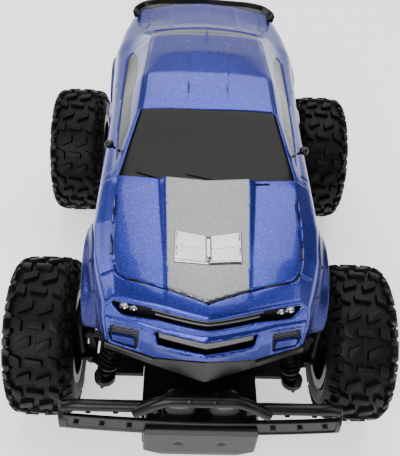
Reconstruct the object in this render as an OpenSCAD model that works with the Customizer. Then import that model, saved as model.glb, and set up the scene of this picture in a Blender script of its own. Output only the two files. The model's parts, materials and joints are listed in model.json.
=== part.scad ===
// Radio-controlled monster truck: a riveted coupe body on a tall chassis, with wishbones and
// steering at the front and a geared swing axle at the back.
// +X is the truck's left side, -Y its front and +Z up. The origin lies on the ground under its middle.

/* [Wheels] */
// Distance between the front and rear axles
wheelbase = 204; // [196:1:210]
// Distance between the middles of the left and right tyres
track = 202; // [198:1:206]
// Tyre diameter over the tread
tyre_d = 105; // [102:0.5:106]
// Tyre width over the sidewalls
tyre_w = 44; // [42:0.5:45]
// Radius of the rim where the tyre's bead sits
bead_r = 30; // [29.5:0.5:31]

/* [Chassis] */
// Height of the underside of the floor above the ground
floor_z = 24; // [23:0.5:25]
// Half of the width of the floor tub
tub_half = 36; // [35:0.5:37]
// Wall of the floor tub
tub_wall = 2.4; // [2:0.1:3]

/* [Suspension] */
// Distance of the wishbones' inner hinge pins from the middle
inner_x = 30; // [30:0.5:31]
// Length of each wishbone between its hinge pins
arm_length = 42; // [41:0.5:42]
// Half of the height between the upper and lower wishbones
arm_rise = 12.5; // [12:0.5:13]
// Radius of the hinge pins and kingpins
pin_r = 1.5; // [1.3:0.1:1.6]
// Running clearance between a pin and its bore
running_gap = 0.06; // [0.04:0.01:0.08]
// Length of the steering arm on each knuckle
steer_arm = 20; // [19:0.5:21]

/* [Body] */
// Thickness of the moulded body shell
shell_wall = 1.6; // [1.4:0.1:2]
// Radius of each wheel arch opening
arch_r = 31; // [30:0.5:32]
// Height of the centre of each wheel arch
arch_z = 107; // [106:0.5:108]
// Distance of the riveted flares' outer lip from the middle
flare_x = 72.5; // [72:0.5:73]

/* [Gears] */
// Module of the drive gears
gear_module = 0.8; // [0.8:0.05:0.85]
// Teeth on the motor's pinion
pinion_teeth = 12; // [12:1:13]
// Teeth on the axle's gear
axle_teeth = 44; // [43:1:44]

/* [Hidden] */
$fn = 48;

left = 1;
right = -1;
gap = 0.3;                                  // between parts that only stand side by side
seat_gap = 0.1;                             // between parts that are screwed together
axle_shift = 4;                             // the middle of the wheelbase lies behind the origin
front_y = axle_shift - wheelbase / 2;
rear_y = axle_shift + wheelbase / 2;
axle_z = tyre_d / 2;
wheel_x = track / 2;
floor_top = floor_z + 3;
outer_x = inner_x + arm_length;
lower_z = axle_z - arm_rise;
upper_z = axle_z + arm_rise;
kingpin_x = outer_x + 8;
rack_y = front_y + steer_arm;
horn_r = 14;
horn_y = rack_y + horn_r;
stub_r = 2.5;
shaft_r = 3;
hub_bore = stub_r + running_gap;

// Front shock: top stud and the seat on the lower wishbone, on the truck's left
shock_y = front_y - 24;
shock_top = [inner_x + 20, axle_z + 49.5];
shock_foot = [inner_x + 32, lower_z + 1];
shock_lean = atan2(shock_foot[0] - shock_top[0], shock_top[1] - shock_foot[1]);
shock_length = norm(shock_foot - shock_top);

// Rear swing axle: its pivot, and the shocks' top and bottom studs as [y, z]
pivot_y = rear_y - 52;
pivot_z = axle_z - 10.5;
rear_shock_x = 46;
rear_top = [rear_y - 8, axle_z + 63.5];
rear_foot = [rear_y + 6, axle_z + 9.5];
rear_lean = atan2(rear_foot[0] - rear_top[0], rear_top[1] - rear_foot[1]);
rear_length = norm(rear_foot - rear_top);
stud_r = 2;

// Drive gears: the motor stands in front of the axle and a little above it
gear_distance = gear_module * (pinion_teeth + axle_teeth) / 2;
gear_angle = 166;                           // direction from the axle to the motor, from +Y towards +Z
motor_y = rear_y + gear_distance * cos(gear_angle);
motor_z = axle_z + gear_distance * sin(gear_angle);
gear_x = 14;
gear_width = 6;
motor_r = 13.8;

// Makes the group below one mesh: a size of zero leaves the shape as it is
module one_mesh() {
    resize([0, 0, 0]) union() children();
}

// A cylinder along X, Y or Z from one coordinate to the other
module rod_x(r, from, to) {
    translate([from, 0, 0]) rotate([0, 90, 0]) cylinder(r = r, h = to - from);
}
module rod_y(r, from, to) {
    translate([0, to, 0]) rotate([90, 0, 0]) cylinder(r = r, h = to - from);
}
module rod_z(r, from, to) {
    translate([0, 0, from]) cylinder(r = r, h = to - from);
}
// A box given by its lowest and highest corners
module block(low, high) {
    translate(low) cube(high - low);
}
// What is drawn for the truck's left is turned over for its right
module on_side(side) {
    if (side == left) children();
    else mirror([1, 0, 0]) children();
}
module both_sides() {
    children();
    mirror([1, 0, 0]) children();
}
// A profile in the plane of X and Z, drawn out along Y
module along_y(from, to) {
    translate([0, to, 0]) rotate([90, 0, 0]) linear_extrude(to - from) children();
}
// A profile in the plane of Y and Z, drawn out along X
module along_x(from, to) {
    translate([from, 0, 0]) rotate([90, 0, 90]) linear_extrude(to - from) children();
}

// ---------------------------------------------------------------- body shell

// Curves along the length of the body as [y, value]
centre_height = [[-160, 147.5], [-156, 149.5], [-150, 151.5], [-131, 155], [-100, 158.5], [-72, 161],
                 [-67, 162], [-40, 171.5], [-17, 181], [-5, 184.5], [18, 187.5], [45, 187.8],
                 [74, 185.6], [86, 182.6], [113, 170], [125, 166.5], [150, 164], [168, 163], [172, 161]];
edge_x = [[-160, 51], [-150, 52], [-100, 54.5], [-64, 55], [-17, 44], [20, 42.5], [84, 38], [113, 43],
          [140, 49], [168, 52], [172, 51]];
edge_z = [[-160, 143.5], [-150, 147], [-130, 150.5], [-100, 154], [-70, 157.5], [-17, 179], [20, 184.5],
          [74, 182.5], [86, 179.5], [113, 167], [140, 161], [168, 160], [172, 158]];
belt_x = [[-160, 55], [-150, 57], [-130, 60], [-100, 61], [-70, 61], [-23, 60], [74, 58.5], [140, 57],
          [172, 55]];
belt_z = [[-160, 139], [-150, 143], [-130, 147], [-100, 150.5], [-70, 154], [-23, 157], [74, 160],
          [111, 160.5], [140, 158], [172, 155]];
side_x = [[-160, 58], [-150, 62], [-130, 66], [-100, 68], [-23, 67], [20, 67], [104, 69], [140, 66],
          [168, 61], [172, 59]];
side_z = [[-160, 128], [-150, 132], [-130, 138], [-100, 142], [0, 140], [104, 146], [172, 142]];
sill_x = [[-160, 57], [-150, 61], [-130, 65], [-70, 66], [104, 66], [140, 63], [172, 56]];
sill_z = [[-160, 109], [-134, 109], [-126, 103], [132, 103], [150, 108], [172, 108]];
// How far the sides lie behind the middle, how far the nose leans forwards below its lip, and how
// sharply its plan comes to a point, by height
sweep = [[-160, 22], [-150, 21], [-130, 15], [-100, 9], [-70, 9], [-45, 8], [-20, 4], [20, 0],
         [74, 0], [113, -5], [150, -9], [172, -11]];
nose_lean = [[106, 7], [122, 7.5], [135, 4.5], [147, 0]];
nose_share = [[-160, 1], [-148, 0.6], [-130, 0]];
plan_power = [[110, 1.1], [122, 1.15], [136, 1.4], [144, 1.6]];

body_front = -160;
body_back = 172;
body_steps = 56;
half_width_ref = 58;

// The half section at y, from the sill up over the edge to the middle
function half_section(y) = let (
    sill = [lookup(y, sill_x), lookup(y, sill_z)],
    side = [lookup(y, side_x), lookup(y, side_z)],
    belt = [lookup(y, belt_x), lookup(y, belt_z)],
    edge = [lookup(y, edge_x), lookup(y, edge_z)],
    top = lookup(y, centre_height)
) concat(
    [for (t = [0:1/3:0.99]) sill + (side - sill) * t],
    [for (t = [0:1/3:0.99]) [side[0] + (belt[0] - side[0]) * (1 - sqrt(1 - t * t)),
                             side[1] + (belt[1] - side[1]) * t]],
    [for (t = [0:1/2:0.99]) belt + (edge - belt) * t],
    [for (t = [0:1/5:1]) [edge[0] * (1 - t), edge[1] + (top - edge[1]) * (1 - pow(1 - t, 2.4))]]
);
half_count = len(half_section(0));
section_count = 2 * half_count - 1;

// The outward direction in the section's own plane
function section_normal(points, k) = let (
    a = points[max(k - 1, 0)],
    b = points[min(k + 1, len(points) - 1)],
    d = (b - a) / norm(b - a)
) k == len(points) - 1 ? [0, 1] : [d[1], -d[0]];

// The whole section, moved inwards by inset, with the lower edge dropped when it is an inner one
function inset_section(y, inset) = let (
    half = half_section(y),
    moved = [for (k = [0:half_count - 1]) let (p = half[k] - inset * section_normal(half, k))
             inset > 0 && k == 0 ? [half[0][0] - inset, 96] : p]
) concat(
    [for (p = moved) [-p[0], p[1]]],
    [for (k = [half_count - 2:-1:0]) moved[k]]
);
// Bends a flat section back at its sides, and leans the nose forwards
function bent(x, y, z) = [x, y + lookup(y, sweep) * pow(abs(x) / half_width_ref, lookup(z, plan_power))
                             - lookup(y, nose_share) * lookup(z, nose_lean), z];
function station_y(i) = body_front + (body_back - body_front) * i / body_steps;

// The solid inside the body's surface, moved inwards by inset
module body_solid(inset = 0) {
    middle = (body_front + body_back) / 2;
    squeeze = 1 - 2 * inset / (body_back - body_front);
    sections = [for (i = [0:body_steps]) inset_section(station_y(i), inset)];
    function placed(i, p) = let (q = bent(p[0], station_y(i), p[1]))
        [q[0], middle + (q[1] - middle) * squeeze, q[2]];
    skin = [for (i = [0:body_steps]) for (p = sections[i]) placed(i, p)];
    // each end has a column of points in the middle, so that it can be creased there
    ends = [for (i = [0, body_steps]) for (k = [0:half_count - 2]) placed(i, [0, sections[i][k][1]])];
    n = section_count;
    first_end = len(skin);
    function at(i, j) = i * n + j;
    function mid(e, k) = k == half_count - 1 ? at(e * body_steps, k)
                                             : first_end + e * (half_count - 1) + k;
    function quad(a, b, c, d) = concat(a == b ? [] : [[a, c, b]], c == d ? [] : [[a, d, c]]);
    polyhedron(
        points = concat(skin, ends),
        faces = concat(
            [for (i = [0:body_steps - 1]) for (j = [0:n - 2])
                for (f = quad(at(i, j), at(i, j + 1), at(i + 1, j + 1), at(i + 1, j))) f],
            [for (i = [0:body_steps - 1])
                for (f = quad(at(i, n - 1), at(i, 0), at(i + 1, 0), at(i + 1, n - 1))) f],
            [for (k = [0:half_count - 2])
                for (f = concat(quad(at(0, k), mid(0, k), mid(0, k + 1), at(0, k + 1)),
                                quad(mid(0, k), at(0, n - 1 - k), at(0, n - 2 - k), mid(0, k + 1)))) f],
            [for (k = [0:half_count - 2]) let (s = body_steps)
                for (f = concat(quad(at(s, k + 1), mid(1, k + 1), mid(1, k), at(s, k)),
                                quad(mid(1, k + 1), at(s, n - 2 - k), at(s, n - 1 - k), mid(1, k)))) f],
            [[at(0, 0), mid(0, 0), at(0, n - 1)], [at(body_steps, n - 1), mid(1, 0), at(body_steps, 0)]]
        )
    );
}

windscreen_outline = [[-55, -60], [-35, -66], [0, -68], [35, -66], [55, -60], [43.5, -14], [0, -16],
                      [-43.5, -14]];
back_light_outline = [[-38, 89], [0, 87.5], [38, 89], [39.5, 110], [0, 113], [-39.5, 110]];
side_light_outline = [[-46, 160], [-17, 176], [30, 180], [60, 176.5], [84, 166], [82, 162.5],
                      [30, 161]];
// Openings in the nose as [x, z]: the lamps and grille, the lower grille and the side intakes
grille_outline = [[0, 145.6], [50, 140.5], [52, 137], [46, 132], [0, 137]];
lower_grille_outline = [[0, 132.5], [23, 129], [17, 121], [0, 123.5]];
intake_outline = [[29, 126.5], [49, 122], [52, 116], [49, 111], [30, 114], [26, 119]];

tail_lamp_x = [24, 40];
tail_lamp_z = 147;
tail_lamp_r = 5.5;
// The fin on the roof as [y, z], with its foot in the shell's wall
fin_outline = [[60, 186], [60, 187], [66, 188.4], [72, 190.4], [75.4, 190.8], [76, 188], [76, 184.6]];

module mirrored_outline(half) {
    polygon(half);
    mirror([1, 0]) polygon(half);
}

module body_shell() {
    color("royalblue") one_mesh() {
        along_x(-0.8, 0.8) polygon(fin_outline);
        pierced_shell();
    }
}

module pierced_shell() {
    difference() {
        body_solid();
        body_solid(shell_wall);
        both_sides() for (x = tail_lamp_x) translate([x, 0, tail_lamp_z])
            rod_y(tail_lamp_r + 0.1, 150, 190);
        translate([0, 0, 150]) linear_extrude(50) polygon(windscreen_outline);
        translate([0, 0, 155]) linear_extrude(40) polygon(back_light_outline);
        both_sides() along_x(36, 80) polygon(side_light_outline);
        along_y(-185, -125) mirrored_outline(grille_outline);
        along_y(-185, -125) mirrored_outline(lower_grille_outline);
        both_sides() along_y(-185, -125) polygon(intake_outline);
        for (y = [front_y, rear_y]) both_sides() translate([0, y, arch_z])
            rod_x(arch_r, 52, 90, $fn = 48);
    }
}

// Black glazing moulded as one tub, which lies against the shell from inside
module window_tub() {
    color("black") one_mesh() intersection() {
        difference() {
            body_solid(shell_wall + gap);
            body_solid(shell_wall + gap + 1.2);
        }
        block([-70, -76, 157], [70, 116, 200]);
    }
}

// Half rings over the arches, with a lip that stands out from the body
module arch_flares() {
    color("midnightblue") one_mesh() difference() {
        for (y = [front_y, rear_y]) both_sides() translate([0, y, arch_z])
            difference() {
                rod_x(arch_r + 6, 62, flare_x);
                rod_x(arch_r, 60, flare_x + 5);
                block([60, -50, -50], [flare_x + 5, 50, -5]);
            }
        body_solid(-0.05);
    }
}

// A band that follows the V of the nose, as a plan outline between two distances behind its tip
module nose_band(from, to, half, power = 1.1) {
    n = 8;
    function y_at(x) = 22 * pow(abs(x) / half_width_ref, power);
    polygon(concat(
        [for (i = [-n:n]) let (x = half * i / n) [x, -168 + from + y_at(x)]],
        [for (i = [n:-1:-n]) let (x = half * i / n) [x, -168 + to + y_at(x)]]
    ));
}

module grille_panel() {
    color("dimgray") translate([0, 0, 112]) linear_extrude(30) nose_band(11, 13, 50, 1.3);
}

// A blade below the nose, whose middle rises to a peak
module chin_splitter() {
    color("black") union() {
        translate([0, 0, 103]) linear_extrude(5.6) nose_band(0, 6, 58);
        intersection() {
            translate([0, 0, 103]) linear_extrude(18) nose_band(-1.2, 0.3, 28.5);
            translate([0, -140, 0]) rotate([90, 0, 0]) linear_extrude(40)
                polygon([[-28.5, 103], [28.5, 103], [28.5, 108.6], [0, 120.5], [-28.5, 108.6]]);
        }
    }
}

// A blade along the edge of the deck, whose ends bend forwards
module rear_spoiler() {
    back = [[0, 178.7], [38, 175.2], [50, 170.4], [56, 157.5], [56.5, 150]];
    front = [[55, 150], [53, 157.5], [47, 165.5], [36, 169], [0, 172.3]];
    color("black") one_mesh() difference() {
        translate([0, 0, 157.5]) linear_extrude(5.5) mirrored_outline(concat(back, front));
        body_solid(-0.05);
    }
}

module tail_lamps() {
    color("firebrick") both_sides() for (x = tail_lamp_x) translate([x, 0, tail_lamp_z])
        rod_y(tail_lamp_r, 170.5 - x * 0.2, 174 - x * 0.2);
}

module door_mirrors() {
    color("black") one_mesh() both_sides() hull() {
        translate([62.5, -33, 164]) sphere(r = 2.6, $fn = 24);
        translate([59, -31.5, 165.5]) sphere(r = 2.8, $fn = 24);
        translate([60.4, -33, 161.4]) sphere(r = 1.6, $fn = 16);
    }
}

// Head lamps behind the grille opening, and the lenses of the two bumper lamps
module front_lamp_lenses() {
    color("lightgray") both_sides() {
        translate([40, 0, 136.5]) rod_y(3.6, -150, -146.6);
        difference() {
            translate([lamp_x, 0, lamp_z]) rod_y(lamp_r - 1.4, -171.2, -169.8);
            hoop_room();
        }
    }
}

// ---------------------------------------------------------------- chassis

floor_screw_x = 18;
floor_screw_y = [-110, -88];
floor_screw_r = 3;

module chassis_tub() {
    posts = [[30, -62, 157], [30, 36, 182.8]];
    color("dimgray") difference() {
        union() {
            block([-tub_half, -160, floor_z], [tub_half, 46, floor_top]);
            // electronics bay
            difference() {
                block([-tub_half, -76, floor_z], [tub_half, 46, 60]);
                block([-tub_half + tub_wall, -76 + tub_wall, floor_top],
                      [tub_half - tub_wall, 46 - tub_wall, 70]);
                block([-16, -80, 47], [16, -70, 70]);
            }
            // nose box, open towards the bulkhead
            difference() {
                block([-tub_half, -160, floor_z], [tub_half, front_y - 21, 52]);
                block([-tub_half + tub_wall, -160 + tub_wall, floor_top],
                      [tub_half - tub_wall, front_y - 20, 52 - tub_wall]);
            }
            // ears for the rear pivot
            both_sides() difference() {
                union() {
                    block([31.2, 40, floor_z], [35.8, pivot_y, pivot_z + 4]);
                    translate([0, pivot_y, pivot_z]) rod_x(5, 31.2, 35.8);
                }
                translate([0, pivot_y, pivot_z]) rod_x(pin_r + 0.02, 25, 40);
            }
            // posts that carry the body
            both_sides() for (p = posts) translate([p[0], p[1], 0]) {
                rod_z(3.4, floor_top, 148);
                rod_z(2, 148, p[2]);
            }
        }
        both_sides() for (y = floor_screw_y) translate([floor_screw_x, y, 0])
            rod_z(floor_screw_r + 0.2, floor_z - 1, floor_z + 1.5);
        block([-22.3, -24.3, floor_z - 1], [22.3, 32.3, floor_top + 1]);
        block([24.8, -56.2, floor_z - 1], [29.2, -45.8, floor_top + 1]);
    }
}

door_hinge = [-22.8, floor_z + 1.2];

module battery_door() {
    color("dimgray") difference() {
        union() {
            block([-22, door_hinge[0], floor_z], [22, 32, floor_z + 2.4]);
            translate([0, door_hinge[0], door_hinge[1]]) rod_x(1.2, -22, 22);
            translate([0, 0, floor_z + 2.4]) block([-20, 28, 0], [20, 29.5, 1.5]);
        }
        for (i = [0:4]) translate([0, -17 + 4 * i, 0])
            block([-14, 0, floor_z - 1], [14, 1.6, floor_z + 0.8]);
    }
}

module power_switch() {
    color("red") union() {
        block([25, -56, floor_z + 0.1], [29, -50, floor_z + 4]);
        block([24, -57, floor_top + 0.2], [30, -49, floor_top + 1.6]);
    }
}

module battery_pack() {
    color("seagreen") for (x = [-9.2, 9.2]) translate([x, 0, floor_top + 9.4])
        rod_y(9, -22, 28);
}

module circuit_board() {
    color("darkgreen") union() {
        block([-30, -24, 50], [30, 30, 51.6]);
        block([-22, -16, 51.6], [-8, -4, 54]);
        block([6, -14, 51.6], [20, 6, 56]);
        block([-20, 6, 51.6], [-10, 22, 57]);
    }
}

module steering_servo() {
    color("darkslategray") union() {
        block([-10, -72.5, floor_top + 0.1], [10, -36, 44]);
        block([-16, -58, 34], [16, -50, 37]);
        translate([0, horn_y, 0]) rod_z(5.5, 44, 47);
        translate([0, horn_y, 0]) rod_z(2.4, 47, 58);
    }
}

module servo_horn() {
    color("whitesmoke") difference() {
        union() {
            translate([0, horn_y, 0]) rod_z(4.6, 57, 61);
            block([-2.4, rack_y, 57], [2.4, horn_y, 59.6]);
            translate([0, rack_y, 0]) rod_z(2.4, 57, 59.6);
            translate([0, rack_y, 0]) rod_z(1.3, 50, 58);
        }
        translate([0, horn_y, 0]) rod_z(2.4 + running_gap, 56, 60);
    }
}

// A sliding bar with a slot for the horn's pin and a stud at each end for the tie rods
module steering_rack() {
    end_x = kingpin_x - arm_length;
    color("gray") difference() {
        union() {
            block([-end_x, rack_y - 1.6, axle_z - 2], [end_x, rack_y + 1.6, axle_z + 2]);
            block([-7, rack_y - 4.6, axle_z - 2], [7, rack_y + 4.6, axle_z + 2]);
            both_sides() translate([end_x, rack_y, axle_z]) rod_y(1.3, -5.4, 1);
            both_sides() translate([end_x, rack_y, axle_z]) rod_y(2.6, -1.6, 1.6);
        }
        block([-1.75, rack_y - 3.4, axle_z - 5], [1.75, rack_y + 3.4, axle_z + 5]);
    }
}

module tie_rod(side) {
    inner = kingpin_x - arm_length;
    color("silver") on_side(side) difference() {
        union() {
            translate([inner, rack_y, axle_z]) rod_y(3.2, -4.4, -2);
            translate([0, rack_y - 2.9, axle_z]) rod_x(1.1, inner + 2, kingpin_x - 4.6);
            block([kingpin_x - 8, rack_y - 4, axle_z - 1], [kingpin_x - 4, rack_y, axle_z + 1]);
            translate([kingpin_x, rack_y, 0]) rod_z(4.3, axle_z - 1, axle_z + 1);
        }
        translate([inner, rack_y, axle_z]) rod_y(1.3 + running_gap, -9, 3);
        // a long eye leaves the knuckle's stud room to swing
        translate([kingpin_x, rack_y + 0.6, 0]) rod_z(2.6, axle_z - 5, axle_z + 5);
        translate([kingpin_x, rack_y - 0.6, 0]) rod_z(2.6, axle_z - 5, axle_z + 5);
    }
}

// Bulkhead that holds the wishbones, with the shock tower in front of it
module front_bulkhead() {
    ear = 4;
    color("dimgray") difference() {
        union() {
            block([-25.6, front_y - 18, floor_top + seat_gap], [25.6, front_y + 14, 74]);
            both_sides() for (z = [lower_z, upper_z]) for (y = [front_y - 18, front_y + 14.3]) {
                block([20, y, z - ear], [inner_x, y + 3.6, z + ear]);
                translate([inner_x, 0, z]) rod_y(ear, y, y + 3.6);
            }
            block([-25.6, front_y + 10, floor_top + seat_gap], [25.6, front_y + 17.9, 47]);
            both_sides() block([20, front_y + 10, 46], [25.6, front_y + 17.9, 74]);
            along_y(front_y - 21, front_y - 18) mirrored_outline(
                [[0, 54], [24, 54], [27, 74], [40, 84], [43.6, 95.5], [55, 97], [56, 106],
                 [44, 110], [0, 96]]);
            both_sides() translate([shock_top[0], 0, shock_top[1]]) {
                rod_y(3.6, shock_y + 3.3, front_y - 18);
                rod_y(stud_r, shock_y - 4.5, front_y - 18);
            }
        }
        both_sides() for (z = [lower_z, upper_z]) translate([inner_x, 0, z])
            rod_y(pin_r, front_y - 19, front_y + 19);
        block([-18, front_y - 12, 50], [18, front_y + 8, 80]);
    }
}

module suspension_pins() {
    color("silver") {
        both_sides() for (z = [lower_z, upper_z]) translate([inner_x, 0, z])
            rod_y(pin_r, front_y - 18, front_y + 17.9);
        translate([0, pivot_y, pivot_z]) rod_x(pin_r, -36, 36);
    }
}

// Rails over the rear axle with the shock studs, and the rear bumper
module rear_frame() {
    rail = [[46.1, 52], [56, 74], [70, 90], [160, 90], [166, 78], [170, 78], [166, 96], [68, 96],
            [50, 82], [46.1, 66]];
    color("dimgray") union() {
        both_sides() {
            along_x(24, 29) polygon(rail);
            // shock tower
            along_x(24, 34) polygon([[rear_top[0] - 9, 92], [rear_top[0] + 9, 92],
                                     [rear_top[0] + 5, rear_top[1] + 5],
                                     [rear_top[0] - 5, rear_top[1] + 5]]);
            translate([0, rear_top[0], rear_top[1]]) {
                rod_x(3.6, 30, rear_shock_x - 3.3);
                rod_x(stud_r, 30, rear_shock_x + 4.5);
            }
        }
        for (y = [74, 150]) block([-26, y, 90], [26, y + 7, 96]);
        block([-29, 46.1, 52], [29, 49, 62]);
        // bumper
        translate([0, 171, 72]) rod_x(4, -58, 58);
        block([-58, 168, 70], [58, 171, 84]);
    }
}

// ---------------------------------------------------------------- bumper

lamp_x = 12.9;
lamp_z = 79;
lamp_r = 10;
beam_half = 80;
beam_low = 62;
beam_high = 75;
tube_r = 3.8;
hoop_y = -172;
hoop_z = 89.8;
beam_bow = 3;                               // how far the beam's ends lie behind its middle

function beam_y(x) = -177 + beam_bow * pow(x / beam_half, 2);

// Room for the hoop above the lamps
module hoop_room() {
    translate([0, hoop_y, hoop_z]) rod_x(tube_r + 0.1, -26, 26);
}

module bumper_beam() {
    n = 8;
    module bowed(thickness, low, high) {
        translate([0, 0, low]) linear_extrude(high - low) polygon(concat(
            [for (i = [-n:n]) let (x = beam_half * i / n) [x, beam_y(x)]],
            [for (i = [n:-1:-n]) let (x = beam_half * i / n) [x, beam_y(x) + thickness]]
        ));
    }
    color("dimgray") difference() {
        union() {
            // a channel: its face and the flange behind the upper edge
            bowed(2.4, beam_low, beam_high);
            bowed(9, beam_low, beam_low + 2.4);
            both_sides() along_x(79, 83.5) polygon([[-174.2, 63], [-165.5, 63], [-163, 76], [-164, 83],
                                                    [-170, 83], [-174.2, 76]]);
            // lamp cans on a raised middle
            both_sides() translate([lamp_x, 0, lamp_z]) rod_y(lamp_r, -171.5, -161);
            block([-34, -178.7, 63], [34, -165, 70]);
            both_sides() block([16, -168, 40], [30, -160.1, 68]);
        }
        both_sides() translate([lamp_x, 0, lamp_z]) rod_y(lamp_r - 1.3, -180, -164);
        hoop_room();
    }
}

// The side tubes, and a hoop over the lamps whose feet stand on the beam
module bumper_tubes() {
    module run(a, b) {
        hull() {
            translate(a) sphere(r = tube_r, $fn = 20);
            translate(b) sphere(r = tube_r, $fn = 20);
        }
    }
    side_z = 80.5;
    color("dimgray") one_mesh() {
        run([-20, hoop_y, hoop_z], [20, hoop_y, hoop_z]);
        both_sides() {
            run([20, hoop_y, hoop_z], [27, hoop_y - 0.5, 87]);
            run([27, hoop_y - 0.5, 87], [38, -172.8, 79]);
            run([28, -170, side_z], [69, -170, side_z]);
            run([69, -170, side_z], [75, -169, 79]);
        }
    }
}

module skid_plate() {
    color("dimgray") union() {
        intersection() {
            along_x(-34.5, 34.5) polygon([[-176.3, 61.8], [-173.3, 61.8], [-170.3, 60], [-167.5, 27],
                                          [-170.8, 27]]);
            along_y(-180, -160) mirrored_outline([[0, 20], [22, 27], [34.5, 34], [34.5, 65], [0, 65]]);
        }
        block([-22, -170, 27], [22, -160.1, 30]);
    }
}

module chassis_screws() {
    color("silver") {
        both_sides() for (y = floor_screw_y) translate([floor_screw_x, y, 0])
            rod_z(floor_screw_r, floor_z + 0.1, floor_z + 1.45);
        // a row of bumper screws on each side of the lamps
        both_sides() for (x = [42, 58, 73]) translate([x, 0, 68.5])
            rod_y(1.7, beam_y(x) - 1.1, beam_y(x) - 0.12);
    }
}

// ---------------------------------------------------------------- front corners

module lower_arm(side) {
    bore = pin_r + running_gap;
    color("dimgray") on_side(side) difference() {
        union() {
            translate([inner_x, 0, lower_z]) rod_y(3.4, front_y - 14, front_y + 14);
            translate([0, front_y, lower_z - 1.6]) linear_extrude(3.2) polygon([
                [inner_x, -14], [inner_x, 14], [outer_x - 10, 12], [outer_x, 11], [outer_x, 6.2],
                [outer_x - 4.6, 6.2], [outer_x - 4.6, -6.2], [outer_x, -6.2], [outer_x, -11],
                [outer_x - 4, -14], [outer_x - 5, -22], [inner_x + 6.8, -22], [inner_x + 6.8, -14]]);
            for (y = [-11, 6.2]) translate([outer_x, front_y, lower_z]) rod_y(3.3, y, y + 4.8);
            translate([shock_foot[0], shock_y, 0]) rod_z(7, lower_z - 1.6, lower_z + 2.4);
            translate([outer_x, front_y, lower_z]) rod_y(pin_r, -11, 11);
        }
        translate([inner_x, 0, lower_z]) rod_y(bore, front_y - 20, front_y + 20);
        translate([shock_foot[0], shock_y, 0]) rod_z(3, lower_z - 9, lower_z + 9);
    }
}

module upper_arm(side) {
    bore = pin_r + running_gap;
    color("dimgray") on_side(side) difference() {
        union() {
            translate([inner_x, 0, upper_z]) rod_y(3.2, front_y - 12, front_y + 12);
            translate([0, front_y, upper_z - 1.5]) linear_extrude(3) difference() {
                polygon([[inner_x, -12], [inner_x, 12], [outer_x, 10], [outer_x, 6.2],
                         [outer_x - 4.6, 6.2], [outer_x - 4.6, -6.2], [outer_x, -6.2],
                         [outer_x, -10]]);
                polygon([[inner_x + 7, -7], [inner_x + 7, 7], [outer_x - 10, 5], [outer_x - 10, -5]]);
            }
            for (y = [-10, 6.2]) translate([outer_x, front_y, upper_z]) rod_y(3, y, y + 3.8);
            translate([outer_x, front_y, upper_z]) rod_y(pin_r, -10, 10);
        }
        translate([inner_x, 0, upper_z]) rod_y(bore, front_y - 20, front_y + 20);
    }
}

// A C that joins both wishbones and holds the kingpin
module knuckle_carrier(side) {
    bore = pin_r + running_gap;
    color("dimgray") on_side(side) translate([0, front_y, 0]) difference() {
        union() {
            for (z = [lower_z, upper_z]) translate([outer_x, 0, z]) rod_y(3.2, -5.8, 5.8);
            block([outer_x - 1.6, -5.8, lower_z - 7], [outer_x + 1.6, 5.8, upper_z + 7]);
            for (z = [lower_z - 7, upper_z + 4]) {
                block([outer_x - 1.6, -5.8, z], [kingpin_x, 5.8, z + 3]);
                translate([kingpin_x, 0, 0]) rod_z(5.8, z, z + 3);
            }
            translate([kingpin_x, 0, 0]) rod_z(pin_r, lower_z - 7, upper_z + 7);
        }
        for (z = [lower_z, upper_z]) translate([outer_x, 0, z]) rod_y(bore, -9, 9);
    }
}

// Turns on the kingpin, and carries the stub axle and the steering arm
module steering_knuckle(side) {
    color("dimgray") on_side(side) translate([kingpin_x, front_y, 0]) difference() {
        union() {
            rod_z(4.2, lower_z - 3.8, upper_z + 3.8);
            translate([0, 0, axle_z]) rod_x(5, 2, 6.4);
            translate([0, 0, axle_z]) rod_x(stub_r, 2, 35);
            block([-3, 0, axle_z - 5.6], [3, steer_arm, axle_z - 3.2]);
            translate([0, steer_arm, 0]) rod_z(3, axle_z - 5.6, axle_z - 3.2);
            translate([0, steer_arm, 0]) rod_z(1.3, axle_z - 4, axle_z + 4.4);
            translate([0, steer_arm, 0]) rod_z(3.4, axle_z + 3.2, axle_z + 4.4);
        }
        rod_z(pin_r + running_gap, lower_z - 9, upper_z + 9);
    }
}

// Shock parts hang down along -Z from the top stud, whose axis is Y
module shock_cylinder() {
    difference() {
        union() {
            rod_y(4.6, -3, 3);
            rod_z(2.9, -9, 0);
            rod_z(5, -34, -8);
            rod_z(6.6, -13.5, -11.5);
        }
        rod_y(stud_r + running_gap, -5, 5);
        rod_z(1.7, -40, -12.6);
    }
}

// The rod ends in a barbed foot that snaps through the wishbone
module shock_rod_with_barb(length) {
    union() {
        rod_z(1.5, -length - 5, -24);
        rod_z(6.6, -48.5, -47);
        rod_z(4, -length + 4.6, -length + 6.4);
        translate([0, 0, -length - 10.5]) cylinder(r1 = 1.8, r2 = 4.4, h = 6.6);
        rod_z(1.3, -length - 13.5, -length - 10);
    }
}

module shock_rod_with_eye(length) {
    difference() {
        union() {
            rod_z(1.5, -50, -24);
            rod_z(6.6, -48.5, -47);
            rod_z(2.8, -length, -48);
            translate([0, 0, -length]) rod_y(4.4, -3, 3);
        }
        translate([0, 0, -length]) rod_y(stud_r + 0.7, -5, 5);
    }
}

spring_turns = 7;
spring_r = 6.1;
spring_wire = 0.8;

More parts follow.
